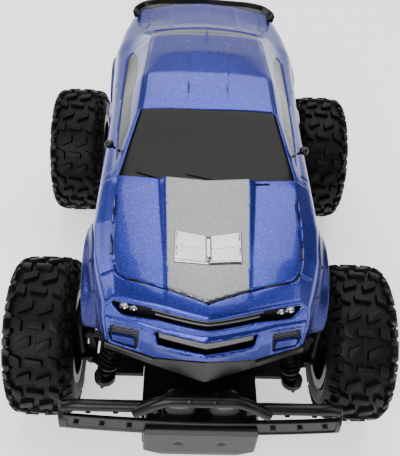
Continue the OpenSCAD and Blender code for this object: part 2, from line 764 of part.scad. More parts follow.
// A coil between two heights: a ring of points that turns and climbs, swept into one closed tube
module coil(low, high) {
    sides = 6;
    steps = 11 * spring_turns;
    rise = (high - low - 2 * spring_wire) / steps;
    function ring_point(i, j) = let (turn = 360 * spring_turns * i / steps, a = 360 * j / sides,
                                     r = spring_r + spring_wire * cos(a))
        [r * cos(turn), r * sin(turn), low + spring_wire + rise * i + spring_wire * sin(a)];
    function at(i, j) = i * sides + j % sides;
    polyhedron(
        points = [for (i = [0:steps]) for (j = [0:sides - 1]) ring_point(i, j)],
        faces = concat(
            [for (i = [0:steps - 1]) for (j = [0:sides - 1])
                for (f = [[at(i, j), at(i, j + 1), at(i + 1, j + 1)],
                          [at(i, j), at(i + 1, j + 1), at(i + 1, j)]]) f],
            [[for (j = [sides - 1:-1:0]) at(0, j)], [for (j = [0:sides - 1]) at(steps, j)]]
        )
    );
}

module at_front_shock(side) {
    on_side(side) translate([shock_top[0], shock_y, shock_top[1]]) rotate([0, -shock_lean, 0])
        children();
}
module front_shock_body(side) {
    color("darkorange") at_front_shock(side) shock_cylinder();
}
module front_shock_rod(side) {
    color("silver") at_front_shock(side) shock_rod_with_barb(shock_length);
}
module front_shock_spring(side) {
    color("gold") at_front_shock(side) coil(-46.9, -13.6);
}

// ---------------------------------------------------------------- wheels

// Half of the tyre's outer outline as [distance from its middle, radius], from the tread to the bead
tyre_outline = [[0, 0], [0.34, 0], [0.6, 0.5], [0.78, 1.6], [0.9, 3.6], [0.97, 7], [1, 11.5],
                [0.98, 15.5], [0.9, 19], [0.8, 22.4]];

module tyre(side, y) {
    half = tyre_w / 2;
    skin = 3.2;
    outer = [for (p = tyre_outline) [p[0] * half, tyre_d / 2 - p[1]]];
    inner = [for (p = tyre_outline) [p[0] * (half - skin), tyre_d / 2 - skin - p[1] * 0.84]];
    last = len(outer) - 1;
    color("black") translate([side * wheel_x, y, axle_z]) rotate([0, 90, 0]) rotate_extrude($fn = 96)
        polygon([for (p = concat(
            [for (i = [last:-1:1]) [-outer[i][0], outer[i][1]]], outer,
            [for (i = [last:-1:0]) inner[i]], [for (i = [1:last]) [-inner[i][0], inner[i][1]]]))
            [p[1], p[0]]]);
}

// Rim with a bead flange on each edge, a spoked face and a hub, drawn for the left side
module rim(side, y, bore) {
    barrel = bead_r - 0.3;
    half = tyre_w / 2 - 1.7;
    color("dimgray") translate([side * wheel_x, y, axle_z]) on_side(side) difference() {
        union() {
            difference() {
                union() {
                    rod_x(barrel - 2.6, -half, half);
                    for (x = [-half, half - 1.6]) rod_x(bead_r + 1.6, x, x + 1.6);
                    for (x = [-half + 1.6, half - 8]) rod_x(barrel - 0.2, x, x + 6.4);
                }
                rod_x(barrel - 3.8, -half - 1, half + 1);
            }
            rod_x(barrel - 3.4, 6, 9);
            rod_x(7, -10.5, 11);
        }
        rod_x(bore, -12, 30);
        for (a = [0:60:300]) rotate([a, 0, 0]) translate([0, 0, 16]) rod_x(5.2, 0, 20);
    }
}

// A hexagonal nut outside the hub
module wheel_nut(side, y, bore) {
    color("silver") translate([side * wheel_x, y, axle_z]) on_side(side) difference() {
        translate([11.1, 0, 0]) rotate([0, 90, 0]) cylinder(r = 4.6, h = 3.8, $fn = 6);
        rod_x(bore, 10, 20);
    }
}

// ---------------------------------------------------------------- rear axle

case_from = 8;
case_to = 22;
tube_outer_r = 6.2;

module rear_axle_housing() {
    case_r = gear_module * (axle_teeth + 2) / 2 + 3;
    pinion_room = gear_module * (pinion_teeth + 2) / 2 + 1.5;
    color("dimgray") difference() {
        union() {
            translate([0, rear_y, axle_z]) rod_x(tube_outer_r, -68, case_from + 4);
            translate([0, rear_y, axle_z]) rod_x(tube_outer_r, case_to + 2.2, 68);
            translate([0, rear_y, axle_z]) rod_x(case_r, case_from, case_to);
            translate([0, motor_y, motor_z]) rod_x(pinion_room + 2.5, case_from, case_to);
            // arms to the pivot
            both_sides() {
                along_x(26.2, 30.8) polygon([[pivot_y, pivot_z - 4], [pivot_y, pivot_z + 4],
                                             [rear_y, axle_z + 5], [rear_y, axle_z - 6]]);
                translate([0, pivot_y, pivot_z]) rod_x(4.4, 26.2, 30.8);
            }
            // cross tie between the arms, and brackets for the shocks
            block([-30, pivot_y + 8, pivot_z - 3], [30, pivot_y + 11, pivot_z + 3]);
            both_sides() {
                along_x(rear_shock_x - 9, rear_shock_x - 3.6) polygon([
                    [rear_y - 6, axle_z], [rear_y + 6, axle_z], [rear_foot[0] + 4, rear_foot[1] + 2],
                    [rear_foot[0], rear_foot[1] + 4.5], [rear_foot[0] - 5, rear_foot[1] + 2]]);
                translate([0, rear_foot[0], rear_foot[1]]) rod_x(stud_r, rear_shock_x - 8, rear_shock_x + 4.5);
            }
        }
        translate([0, rear_y, axle_z]) rod_x(shaft_r + running_gap, -80, 80);
        // room for the gears, open on the cover's side
        translate([0, rear_y, axle_z]) rod_x(case_r - 2, case_from + 2, case_to + 0.01);
        translate([0, motor_y, motor_z]) rod_x(pinion_room, case_from + 2, case_to + 0.01);
        translate([0, motor_y, motor_z]) rod_x(2.2, 0, case_from + 3);
        both_sides() translate([0, pivot_y, pivot_z]) rod_x(pin_r + running_gap, 20, 40);
    }
}

module gearbox_cover() {
    case_r = gear_module * (axle_teeth + 2) / 2 + 3;
    pinion_room = gear_module * (pinion_teeth + 2) / 2 + 1.5;
    color("gray") difference() {
        union() {
            translate([0, rear_y, axle_z]) rod_x(case_r, case_to + seat_gap, case_to + 2.1);
            translate([0, motor_y, motor_z]) rod_x(pinion_room + 2.5, case_to + seat_gap, case_to + 2.1);
        }
        translate([0, rear_y, axle_z]) rod_x(shaft_r + 0.2, 0, 40);
    }
}

module drive_motor() {
    color("silver") translate([0, motor_y, motor_z]) union() {
        rod_x(motor_r, -25.6, case_from - 2.4);
        rod_x(5, case_from - 2.4, case_from - 0.1);
        rod_x(4, -28.4, -25.6);
        rod_x(1.1, case_from - 1, case_from + 3.4);
    }
}

// Involute gear outline: each tooth's flanks unroll from the base circle
function gear_points(teeth) = let (
    pitch = gear_module * teeth / 2,
    base = pitch * cos(20),
    tip = pitch + gear_module * 0.9,
    root = pitch - gear_module * 1.25,
    roll = function (t) t * 180 / PI - atan(t),
    half = 90 / teeth - 1.6 / pitch * 3,
    t_tip = sqrt(pow(tip / base, 2) - 1),
    flank = [for (k = [0:3]) let (t = t_tip * k / 3)
             [base * sqrt(1 + t * t), half + roll(tan(20)) - roll(t)]]
) [for (i = [0:teeth - 1]) let (a = 360 * i / teeth)
   for (p = concat([[root, -flank[0][1]]], [for (f = flank) [f[0], -f[1]]],
                   [for (k = [3:-1:0]) flank[k]], [[root, flank[0][1]]]))
   p[0] * [cos(a + p[1]), sin(a + p[1])]];

module motor_pinion() {
    color("goldenrod") translate([gear_x - 3.4, motor_y, motor_z]) rotate([90, 0, 90])
        rotate(gear_angle + 180) linear_extrude(gear_width + 1) difference() {
            polygon(gear_points(pinion_teeth));
            circle(r = 1.1 + running_gap, $fn = 32);
        }
}

module axle_gear() {
    color("whitesmoke") translate([gear_x - 3, rear_y, axle_z]) rotate([90, 0, 90])
        rotate(gear_angle + 180 / axle_teeth) linear_extrude(gear_width) difference() {
            polygon(gear_points(axle_teeth));
            circle(r = shaft_r + 0.02, $fn = 48);
        }
}

module rear_axle_shaft() {
    color("silver") translate([0, rear_y, axle_z]) rod_x(shaft_r, -wheel_x - 14.5, wheel_x + 14.5);
}

// Rear shocks stand in the plane of Y and Z
module at_rear_shock() {
    both_sides() translate([rear_shock_x, rear_top[0], rear_top[1]]) rotate([rear_lean, 0, 0])
        rotate([0, 0, 90]) children();
}
module rear_shock_bodies() {
    color("darkorange") at_rear_shock() shock_cylinder();
}
module rear_shock_rods() {
    color("silver") at_rear_shock() shock_rod_with_eye(rear_length);
}
module rear_shock_springs() {
    color("gold") at_rear_shock() coil(-46.9, -13.6);
}

// ---------------------------------------------------------------- nodes

body_shell();
window_tub();
arch_flares();
grille_panel();
chin_splitter();
rear_spoiler();
tail_lamps();
door_mirrors();
front_lamp_lenses();
chassis_tub();
front_bulkhead();
rear_frame();
bumper_beam();
bumper_tubes();
skid_plate();
suspension_pins();
battery_pack();
circuit_board();
steering_servo();
chassis_screws();
battery_door();
power_switch();
servo_horn();
steering_rack();
tie_rod(left);  // tie_rod_left
tie_rod(right);  // tie_rod_right
lower_arm(left);  // lower_arm_left
lower_arm(right);  // lower_arm_right
upper_arm(left);  // upper_arm_left
upper_arm(right);  // upper_arm_right
knuckle_carrier(left);  // knuckle_carrier_left
knuckle_carrier(right);  // knuckle_carrier_right
steering_knuckle(left);  // steering_knuckle_left
steering_knuckle(right);  // steering_knuckle_right
front_shock_body(left);  // front_shock_body_left
front_shock_body(right);  // front_shock_body_right
front_shock_rod(left);  // front_shock_rod_left
front_shock_rod(right);  // front_shock_rod_right
front_shock_spring(left);  // front_shock_spring_left
front_shock_spring(right);  // front_shock_spring_right
rim(left, front_y, hub_bore);  // front_rim_left
rim(right, front_y, hub_bore);  // front_rim_right
tyre(left, front_y);  // front_tyre_left
tyre(right, front_y);  // front_tyre_right
wheel_nut(left, front_y, hub_bore);  // front_wheel_nut_left
wheel_nut(right, front_y, hub_bore);  // front_wheel_nut_right
rear_axle_housing();
gearbox_cover();
drive_motor();
motor_pinion();
axle_gear();
rear_axle_shaft();
rim(left, rear_y, shaft_r + 0.02);  // rear_rim_left
rim(right, rear_y, shaft_r + 0.02);  // rear_rim_right
tyre(left, rear_y);  // rear_tyre_left
tyre(right, rear_y);  // rear_tyre_right
union() {  // rear_wheel_nuts
    wheel_nut(left, rear_y, shaft_r + 0.02);
    wheel_nut(right, rear_y, shaft_r + 0.02);
}
rear_shock_bodies();
rear_shock_rods();
rear_shock_springs();
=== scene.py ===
"""Radio-controlled monster truck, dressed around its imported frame.

The truck's front faces -Y, its left side is +X and +Z is up, in metres. Each sub-assembly below is a class
that holds its sizes, works its surfaces out as whole numpy arrays and gives them their finishes. The
classes' own sizes are in millimetres.
"""

import json
import logging
import math
from dataclasses import dataclass, field
from enum import Enum
from typing import Callable, Optional, Sequence

import bpy
import numpy as np
from mathutils import Matrix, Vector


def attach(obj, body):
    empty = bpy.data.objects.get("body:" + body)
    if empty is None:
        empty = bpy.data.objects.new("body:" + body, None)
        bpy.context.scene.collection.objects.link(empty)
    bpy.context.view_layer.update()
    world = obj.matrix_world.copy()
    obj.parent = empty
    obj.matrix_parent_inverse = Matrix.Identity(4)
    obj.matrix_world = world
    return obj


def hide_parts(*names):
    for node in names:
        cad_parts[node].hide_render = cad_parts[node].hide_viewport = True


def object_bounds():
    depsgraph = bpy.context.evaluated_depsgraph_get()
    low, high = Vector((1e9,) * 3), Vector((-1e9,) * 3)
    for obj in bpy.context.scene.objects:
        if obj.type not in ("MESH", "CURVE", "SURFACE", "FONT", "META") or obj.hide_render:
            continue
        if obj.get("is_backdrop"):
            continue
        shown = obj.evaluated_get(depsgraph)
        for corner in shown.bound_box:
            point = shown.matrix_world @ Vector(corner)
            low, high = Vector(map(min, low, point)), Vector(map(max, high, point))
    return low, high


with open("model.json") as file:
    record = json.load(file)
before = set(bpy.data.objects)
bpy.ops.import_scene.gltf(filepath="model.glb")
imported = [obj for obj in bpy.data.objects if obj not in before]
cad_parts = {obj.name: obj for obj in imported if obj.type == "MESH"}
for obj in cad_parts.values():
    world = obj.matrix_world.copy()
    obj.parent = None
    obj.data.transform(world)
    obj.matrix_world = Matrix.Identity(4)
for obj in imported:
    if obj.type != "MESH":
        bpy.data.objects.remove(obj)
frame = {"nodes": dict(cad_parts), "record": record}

CAD_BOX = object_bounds()
LOG = logging.getLogger("monster_truck")
MM = 0.001
TINY = 1e-12
CAP_LENGTH = 0.35           # how far a tube's rounded end reaches, as a share of its radius

Array = np.ndarray
Points = Sequence[Sequence[float]]


class Side(Enum):
    """The two sides of the truck, by the sign of X."""

    LEFT = 1
    RIGHT = -1


class Grain(Enum):
    """How a moulded surface is textured."""

    GLOSS = "gloss"
    SATIN = "satin"
    COARSE = "coarse"


BOTH = tuple(side.value for side in Side)


# ---------------------------------------------------------------- meshes


@dataclass
class MeshParts:
    """Vertices in millimetres and polygons, gathered from several surfaces into one piece."""

    points: list[Array] = field(default_factory=list)
    faces: list[Array] = field(default_factory=list)
    marks: list[Array] = field(default_factory=list)
    count: int = 0

    def add(self, points: Array, faces: Array, mark: int | Array = 0) -> None:
        """Adds one surface.

        Args:
            points: Its vertices, N by 3, in millimetres.
            faces: Its polygons as rows of vertex numbers, all with the same number of corners.
            mark: The material number of each polygon.
        """
        flat = np.asarray(points, float).reshape(-1, 3)
        rows = np.asarray(faces, np.int64)
        self.points.append(flat)
        self.faces.append(rows + self.count)
        self.marks.append(np.broadcast_to(mark, len(rows)).astype(np.int32))
        self.count += len(flat)

    def grid(self, points: Array, wrap_rows: bool = False, wrap_columns: bool = False,
             keep: Optional[Array] = None, mark: int | Array = 0) -> None:
        """Adds a grid of quads. Its face normals point along d(rows) x d(columns).

        Args:
            points: R by C by 3 vertices, in millimetres.
            wrap_rows: Joins the last row to the first.
            wrap_columns: Joins the last column to the first.
            keep: Which quads stay, as R' by C' booleans.
            mark: The material number, one for all or one for each quad.
        """
        rows, columns = points.shape[:2]
        r = np.arange(rows if wrap_rows else rows - 1)
        c = np.arange(columns if wrap_columns else columns - 1)
        rr, cc = np.meshgrid(r, c, indexing="ij")
        r2, c2 = (rr + 1) % rows, (cc + 1) % columns
        quads = np.stack([rr * columns + cc, r2 * columns + cc, r2 * columns + c2, rr * columns + c2], -1)
        marks = np.broadcast_to(mark, rr.shape)
        if keep is None:
            keep = np.ones(rr.shape, bool)
        used, where = np.unique(quads[keep], return_inverse=True)
        self.add(points.reshape(-1, 3)[used], where.reshape(-1, 4), marks[keep])

    def cap(self, ring: Array, mark: int = 0, back: bool = False) -> None:
        """Adds one polygon over a ring of points, turned over if it looks back."""
        order = np.arange(len(ring))
        self.add(ring, (order[::-1] if back else order)[None], mark)

    def piece(self, name: str, finishes: Sequence["Finish"], body: str, slot: str, *nodes: str,
              angle: float = 35.0, wall: float = 0.0) -> bpy.types.Object:
        """Args:
            name: The piece's name.
            finishes: One finish for each material number.
            body: The body that it rides on.
            slot: Its material slot; not used.
            nodes: The nodes that it stands for.
            angle: Edges sharper than this, in degrees, stay sharp.
            wall: The thickness of an open shell, in millimetres.

        Returns:
            The linked object, at the origin.
        """
        made = self.object(name, finishes, angle)
        if wall:
            solidify(made, wall)
        return declare(made, body, slot, *nodes)

    def object(self, name: str, finishes: Sequence["Finish"], smooth_angle: float = 35.0
               ) -> bpy.types.Object:
        """Makes the piece's object.

        Args:
            name: The piece's name.
            finishes: One finish for each material number.
            smooth_angle: Edges sharper than this, in degrees, stay sharp.

        Returns:
            The linked object, at the origin.
        """
        points = np.concatenate(self.points) * MM
        sizes = np.concatenate([np.full(len(f), f.shape[1]) for f in self.faces])
        corners = np.concatenate([f.ravel() for f in self.faces])
        mesh = bpy.data.meshes.new(name)
        mesh.vertices.add(len(points))
        mesh.vertices.foreach_set("co", points.ravel())
        mesh.loops.add(len(corners))
        mesh.loops.foreach_set("vertex_index", corners.astype(np.int32))
        mesh.polygons.add(len(sizes))
        starts = np.concatenate([[0], np.cumsum(sizes)[:-1]])
        mesh.polygons.foreach_set("loop_start", starts.astype(np.int32))
        mesh.polygons.foreach_set("material_index", np.concatenate(self.marks))
        mesh.update(calc_edges=True)
        mesh.validate()
        for finish in finishes:
            mesh.materials.append(finish.material())
        mesh.shade_smooth()
        mesh.set_sharp_from_angle(angle=math.radians(smooth_angle))
        piece = bpy.data.objects.new(name, mesh)
        bpy.context.scene.collection.objects.link(piece)
        return piece


def solidify(piece: bpy.types.Object, thickness: float) -> None:
    """Gives an open shell a wall of that thickness, in millimetres, behind its faces."""
    wall = piece.modifiers.new("wall", "SOLIDIFY")
    wall.thickness = thickness * MM
    wall.offset = -1.0
    wall.use_rim = True


def declare(piece: bpy.types.Object, body: str, slot: str, *nodes: str) -> bpy.types.Object:
    """Rides a piece on its body and hides the nodes that it stands for."""
    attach(piece, body)
    if nodes:
        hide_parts(*nodes)
    LOG.info("%s rides on %s", piece.name, body)
    return piece


def round_curve(knots: Points, at: Array, blur: float) -> Array:
    """A curve through knots whose corners are rounded.

    The straight-line curve is sampled every half millimetre and averaged with a bell-shaped weight.

    Args:
        knots: Pairs of place and value, in rising order of place.
        at: The places to read.
        blur: The bell's standard deviation, in the places' units.

    Returns:
        The curve's values at those places.
    """
    k = np.asarray(knots, float)
    step = 0.5
    reach = 4 * blur
    grid = np.arange(k[0, 0] - reach, k[-1, 0] + reach + step, step)
    start = k[0, 1] + (grid - k[0, 0]) * (k[1, 1] - k[0, 1]) / (k[1, 0] - k[0, 0])
    end = k[-1, 1] + (grid - k[-1, 0]) * (k[-1, 1] - k[-2, 1]) / (k[-1, 0] - k[-2, 0])
    value = np.interp(grid, k[:, 0], k[:, 1])
    value = np.where(grid < k[0, 0], start, np.where(grid > k[-1, 0], end, value))
    offsets = np.arange(-reach, reach + step, step)
    bell = np.exp(-0.5 * (offsets / blur) ** 2)
    padded = np.pad(value, len(offsets) // 2, mode="reflect", reflect_type="odd")
    smooth = np.convolve(padded, bell / bell.sum(), mode="valid")[: len(grid)]
    return np.interp(at, grid, smooth)


def blend_step(x: Array, low: float, high: float) -> Array:
    """Rises smoothly from 0 at low to 1 at high (a cubic ease)."""
    t = np.clip((x - low) / (high - low), 0, 1)
    return t * t * (3 - 2 * t)


def polyline_nearest(p: Array, line: Array) -> tuple[Array, Array]:
    """The nearest point of an open polyline to each point, and the distance to it.

    Args:
        p: Points, N by 2.
        line: The polyline's corners, M by 2.

    Returns:
        The nearest points, N by 2, and the distances, N.
    """
    a, b = line[:-1], line[1:]
    d = b - a
    best = np.full(len(p), np.inf)
    near = np.zeros_like(p)
    for start, run in zip(a, d):
        t = np.clip((p - start) @ run / max(run @ run, TINY), 0, 1)
        q = start + t[:, None] * run
        gap = np.linalg.norm(p - q, axis=1)
        closer = gap < best
        best = np.where(closer, gap, best)
        near = np.where(closer[:, None], q, near)
    return near, best


def inside(p: Array, outline: Array) -> Array:
    """Which points lie within a closed outline, by counting the edges that a ray from each crosses."""
    result = np.zeros(len(p), bool)
    for a, b in zip(outline, np.roll(outline, -1, axis=0)):
        spans = (a[1] > p[:, 1]) != (b[1] > p[:, 1])
        rise = b[1] - a[1] if abs(b[1] - a[1]) > TINY else TINY
        result ^= spans & (p[:, 0] < (b[0] - a[0]) * (p[:, 1] - a[1]) / rise + a[0])
    return result


def read_curve(knots: Points, at: Array) -> Array:
    """The straight-line curve through knots, pairs of place and value, read at those places."""
    return np.interp(at, *np.asarray(knots, float).T)


def all_quads(points: Array) -> Array:
    """A mask that keeps every quad of a grid of points."""
    return np.ones((points.shape[0] - 1, points.shape[1] - 1), bool)


def middles(points: Array) -> Array:
    """The middle of every quad of a grid of points, from two opposite corners."""
    return (points[:-1, :-1] + points[1:, 1:]) / 2


def inward_of(outline: Array) -> Array:
    """Unit directions into a closed outline that turns anticlockwise, one at each corner."""
    d = np.roll(outline, -1, axis=0) - np.roll(outline, 1, axis=0)
    return np.stack([-d[:, 1], d[:, 0]], 1) / np.maximum(np.linalg.norm(d, axis=1, keepdims=True), 1e-9)


def rounded_outline(corners: Points, radius: float, arc: int = 5) -> Array:
    """A closed outline whose corners are replaced by quadratic curves.

    Args:
        corners: The sharp outline.
        radius: How far from each corner its curve starts.
        arc: Points along each curve.

    Returns:
        The rounded outline.
    """
    p = np.asarray(corners, float)
    before, after = np.roll(p, 1, axis=0), np.roll(p, -1, axis=0)
    def towards(q: Array) -> Array:
        """The point at the radius from each corner towards its neighbour, at most halfway."""
        length = np.linalg.norm(q - p, axis=1, keepdims=True)
        return p + (q - p) * np.minimum(radius / length, 0.48)
    a, b = towards(before), towards(after)
    t = np.linspace(0, 1, arc)[None, :, None]
    curve = (1 - t) ** 2 * a[:, None] + 2 * t * (1 - t) * p[:, None] + t ** 2 * b[:, None]
    return curve.reshape(-1, 2)


def on_side(outline: Array, sign: int) -> Array:
    """An outline moved to the side of that sign of X, with its order kept turning the same way."""
    return outline if sign > 0 else (outline * [-1, 1])[::-1]


def frames_along(path: Array, up: Sequence[float]) -> tuple[Array, Array]:
    """Two unit directions square to a path at each of its points.

    Args:
        path: N by 3 points.
        up: A direction that is never along the path.

    Returns:
        The sideways and the upward directions, each N by 3.
    """
    along = np.gradient(path, axis=0)
    along /= np.linalg.norm(along, axis=1, keepdims=True)
    side = np.cross(along, np.asarray(up, float))
    side /= np.linalg.norm(side, axis=1, keepdims=True)
    return side, np.cross(side, along)


def smooth_path(corners: Points, count: int, blur: float) -> Array:
    """A path through space whose corners are rounded by averaging along its length.

    Args:
        corners: The sharp path, in millimetres.
        count: Points along the rounded path.
        blur: The standard deviation of the averaging bell.

    Returns:
        The rounded path, which keeps both ends.
    """
    p = np.asarray(corners, float)
    run = np.concatenate([[0], np.cumsum(np.linalg.norm(np.diff(p, axis=0), axis=1))])
    at = np.linspace(0, run[-1], count)
    columns = [round_curve(np.stack([run, p[:, k]], 1), at, blur) for k in range(3)]
    path = np.stack(columns, 1)
    path[0], path[-1] = p[0], p[-1]
    return path


def tube(parts: MeshParts, path: Array, radius: float | Array, up: Sequence[float] = (0, 0, 1),
         sides: int = 24, mark: int = 0) -> None:
    """Carries a circle along a path and closes it with rounded ends.

    Args:
        parts: Where it is added.
        path: N by 3 points, in millimetres.
        radius: The tube's radius, one for all or one for each point.
        up: A direction that is never along the path.
        sides: Points round the circle.
        mark: Its material number.
    """
    side, rise = frames_along(path, up)
    along = np.cross(rise, side)
    r = np.broadcast_to(radius, len(path)).astype(float)
    angle = np.linspace(0, 2 * np.pi, sides, endpoint=False)
    cap = np.linspace(0, np.pi / 2, 5)[:-1]
    centres = np.concatenate([path[:1] - along[:1] * (r[0] * np.cos(cap))[:, None] * CAP_LENGTH, path,
                              path[-1:] + along[-1:] * (r[-1] * np.cos(cap[::-1]))[:, None] * CAP_LENGTH])
    sizes = np.concatenate([r[0] * np.sin(cap) + 1e-3, r, r[-1] * np.sin(cap[::-1]) + 1e-3])
    s = np.concatenate([np.repeat(side[:1], 4, 0), side, np.repeat(side[-1:], 4, 0)])
    u = np.concatenate([np.repeat(rise[:1], 4, 0), rise, np.repeat(rise[-1:], 4, 0)])
    ring = (np.cos(angle)[None, :, None] * s[:, None] + np.sin(angle)[None, :, None] * u[:, None])
    parts.grid(centres[:, None] + sizes[:, None, None] * ring, wrap_columns=True, mark=mark)


def revolve(parts: MeshParts, profile: Points, centre: Sequence[float], axis: Sequence[float],
            segments: int = 48, mark: int = 0) -> None:
    """Turns a profile about an axis.

    Args:
        parts: Where it is added.
        profile: Pairs of distance along the axis and radius, ordered so that the faces point outwards.
        centre: The axis's origin, in millimetres.
        axis: Its unit direction.
        segments: Points round the turn.
        mark: Its material number.
    """
    p = np.asarray(profile, float)
    n = np.asarray(axis, float) / np.linalg.norm(axis)
    a = np.cross(n, [0, 0, 1]) if abs(n[2]) < 0.9 else np.cross(n, [1, 0, 0])
    a /= np.linalg.norm(a)
    b = np.cross(n, a)
    turn = np.linspace(0, 2 * np.pi, segments, endpoint=False)
    ring = np.cos(turn)[:, None] * a + np.sin(turn)[:, None] * b
    points = np.asarray(centre, float) + p[:, None, :1] * n + p[:, None, 1:] * ring[None]
    parts.grid(points, wrap_columns=True, mark=mark)


def plate(parts: MeshParts, outline: Array, low: float, high: float,
          to_space: Callable[[Array], Array], edge: float = 0.4, mark: int = 0) -> None:
    """A flat plate with softened edges, from a closed outline that turns anticlockwise.

    Args:
        parts: Where it is added.
        outline: Its outline, N by 2, in millimetres.
        low: The height of its back.
        high: The height of its face.
        to_space: Turns N by 3 of (outline x, outline y, height) into space.
        edge: The width of its softened edges.
        mark: Its material number.
    """
    inward = inward_of(outline)
    levels = [(low, edge), (low + edge, 0.0), (high - edge, 0.0), (high - 0.3 * edge, 0.3 * edge),
              (high, edge)]
    rings = [np.column_stack([outline + inward * shift, np.full(len(outline), z)]) for z, shift in levels]
    points = np.stack([to_space(ring) for ring in rings])
    parts.grid(points.transpose(1, 0, 2), wrap_rows=True, mark=mark)
    parts.cap(points[-1], mark)
    parts.cap(points[0], mark, back=True)


def rounded_open(corners: Points, radius: float, arc: int = 6) -> Array:
    """An open line whose inner corners are rounded with quadratic curves."""
    p = np.asarray(corners, float)
    run = rounded_outline(p, radius, arc).reshape(len(p), arc, 2)
    return np.concatenate([p[:1], run[1:-1].reshape(-1, 2), p[-1:]])


def sweep(parts: MeshParts, path: Array, profile: Points, up: Sequence[float] = (0, 0, 1),
          mark: int = 0) -> None:
    """Carries a closed profile along a path and closes both ends.

    Args:
        parts: Where it is added.
        path: N by 3 points.
        profile: Pairs of sideways and upward distance, turning anticlockwise.
        up: A direction that is never along the path.
        mark: Its material number.
    """
    side, rise = frames_along(path, up)
    q = np.asarray(profile, float)
    points = path[:, None] + q[None, :, :1] * side[:, None] + q[None, :, 1:] * rise[:, None]
    parts.grid(points, wrap_columns=True, mark=mark)
    parts.cap(points[0], mark, back=True)
    parts.cap(points[-1], mark)


def ball(parts: MeshParts, centre: Sequence[float], radii: Sequence[float], squareness: float = 1.0,
         mark: int = 0) -> None:
    """An egg or a softened block: |x|^(2/q) + |y|^(2/q) + |z|^(2/q) = 1, stretched by its radii.

    Args:
        parts: Where it is added.
        centre: Its middle, in millimetres.
        radii: Its three radii.
        squareness: The q above. 1 is an egg, and less is squarer.
        mark: Its material number.
    """
    v = np.linspace(-np.pi / 2, np.pi / 2, 21)[:, None]
    u = np.linspace(0, 2 * np.pi, 32, endpoint=False)[None]
    power = lambda c: np.sign(c) * np.abs(c) ** squareness
    shape = np.stack([power(np.cos(v)) * power(np.cos(u)), power(np.cos(v)) * power(np.sin(u)),
                      power(np.sin(v)) + 0 * u], -1)
    parts.grid((np.asarray(centre) + shape * radii)[::-1], wrap_columns=True, mark=mark)


# ---------------------------------------------------------------- finishes


@dataclass(frozen=True)
class Finish:
    """A surface's look. Each kind adds its own nodes to the same shader."""

    name: str

    def material(self) -> bpy.types.Material:
        """Makes the material once, and returns it afterwards."""
        label = f"{self.name}_finish"
        found = bpy.data.materials.get(label)
        if found:
            return found
        made = bpy.data.materials.new(label)
        made.use_nodes = True
        tree = made.node_tree
        self.dress(Nodes(tree))
        return made

    def dress(self, nodes: "Nodes") -> None:
        """Builds the finish's own nodes."""
        raise NotImplementedError


@dataclass
class Nodes:
    """A short way to write a node tree."""

    tree: bpy.types.NodeTree

    @property
    def shader(self) -> bpy.types.Node:
        """The Principled shader."""
        return next(n for n in self.tree.nodes if n.type == "BSDF_PRINCIPLED")

    def set(self, **values: float | tuple) -> None:
        """Sets the shader's own sockets; an underscore in a name stands for a space."""
        for key, value in values.items():
            self.shader.inputs[key.replace("_", " ")].default_value = value

    def add(self, kind: str, inputs: Optional[dict] = None, **attributes: object) -> bpy.types.Node:
        """Adds a node, sets its attributes and fills its inputs with values or with other sockets."""
        node = self.tree.nodes.new(kind)
        for key, value in attributes.items():
            setattr(node, key, value)
        for key, value in (inputs or {}).items():
            if isinstance(value, bpy.types.NodeSocket):
                self.tree.links.new(value, node.inputs[key])
            else:
                node.inputs[key].default_value = value
        return node

    def place(self) -> bpy.types.NodeSocket:
        """Object coordinates, in metres."""
        return self.add("ShaderNodeTexCoord").outputs["Object"]

    def noise(self, scale: float, detail: float = 3.0, roughness: float = 0.55) -> bpy.types.NodeSocket:
        """Cloudy noise, from 0 to 1, with that many lumps to the metre."""
        node = self.add("ShaderNodeTexNoise", {"Vector": self.place(), "Scale": scale, "Detail": detail,
                                               "Roughness": roughness})
        return node.outputs["Fac"]

    def ramp(self, value: bpy.types.NodeSocket, stops: Sequence[tuple[float, tuple]]
             ) -> bpy.types.NodeSocket:
        """A colour for each value, between stops of place and colour."""
        node = self.add("ShaderNodeValToRGB", {"Fac": value})
        while len(node.color_ramp.elements) < len(stops):
            node.color_ramp.elements.new(0.5)
        for element, (place, colour) in zip(node.color_ramp.elements, stops):
            element.position = place
            element.color = (*colour, 1.0)
        return node.outputs["Color"]

    def shades(self, value: bpy.types.NodeSocket, colour: tuple,
               stops: Sequence[tuple[float, float]]) -> None:
        """Feeds the base colour with lighter and darker shades, between stops of place and factor."""
        shaded = [(place, scaled(colour, factor)) for place, factor in stops]
        self.link(self.ramp(value, shaded), "Base Color")

    def spread(self, value: bpy.types.NodeSocket, low: float, high: float) -> bpy.types.NodeSocket:
        """Turns 0 to 1 into low to high."""
        node = self.add("ShaderNodeMapRange", {"Value": value, "To Min": low, "To Max": high})
        return node.outputs["Result"]

    def bump(self, height: bpy.types.NodeSocket, strength: float, distance: float,
             after: Optional[bpy.types.NodeSocket] = None) -> bpy.types.NodeSocket:
        """Raises the surface by a height map, on top of another bump if one is given."""
        inputs = {"Height": height, "Strength": strength, "Distance": distance}
        if after is not None:
            inputs["Normal"] = after
        return self.add("ShaderNodeBump", inputs).outputs["Normal"]

    def link(self, source: bpy.types.NodeSocket, socket: str) -> None:
        """Feeds one of the shader's sockets."""
        self.tree.links.new(source, self.shader.inputs[socket])


def scaled(colour: tuple, factor: float) -> tuple:
    """A colour made lighter or darker."""
    return tuple(min(c * factor, 1.0) for c in colour)


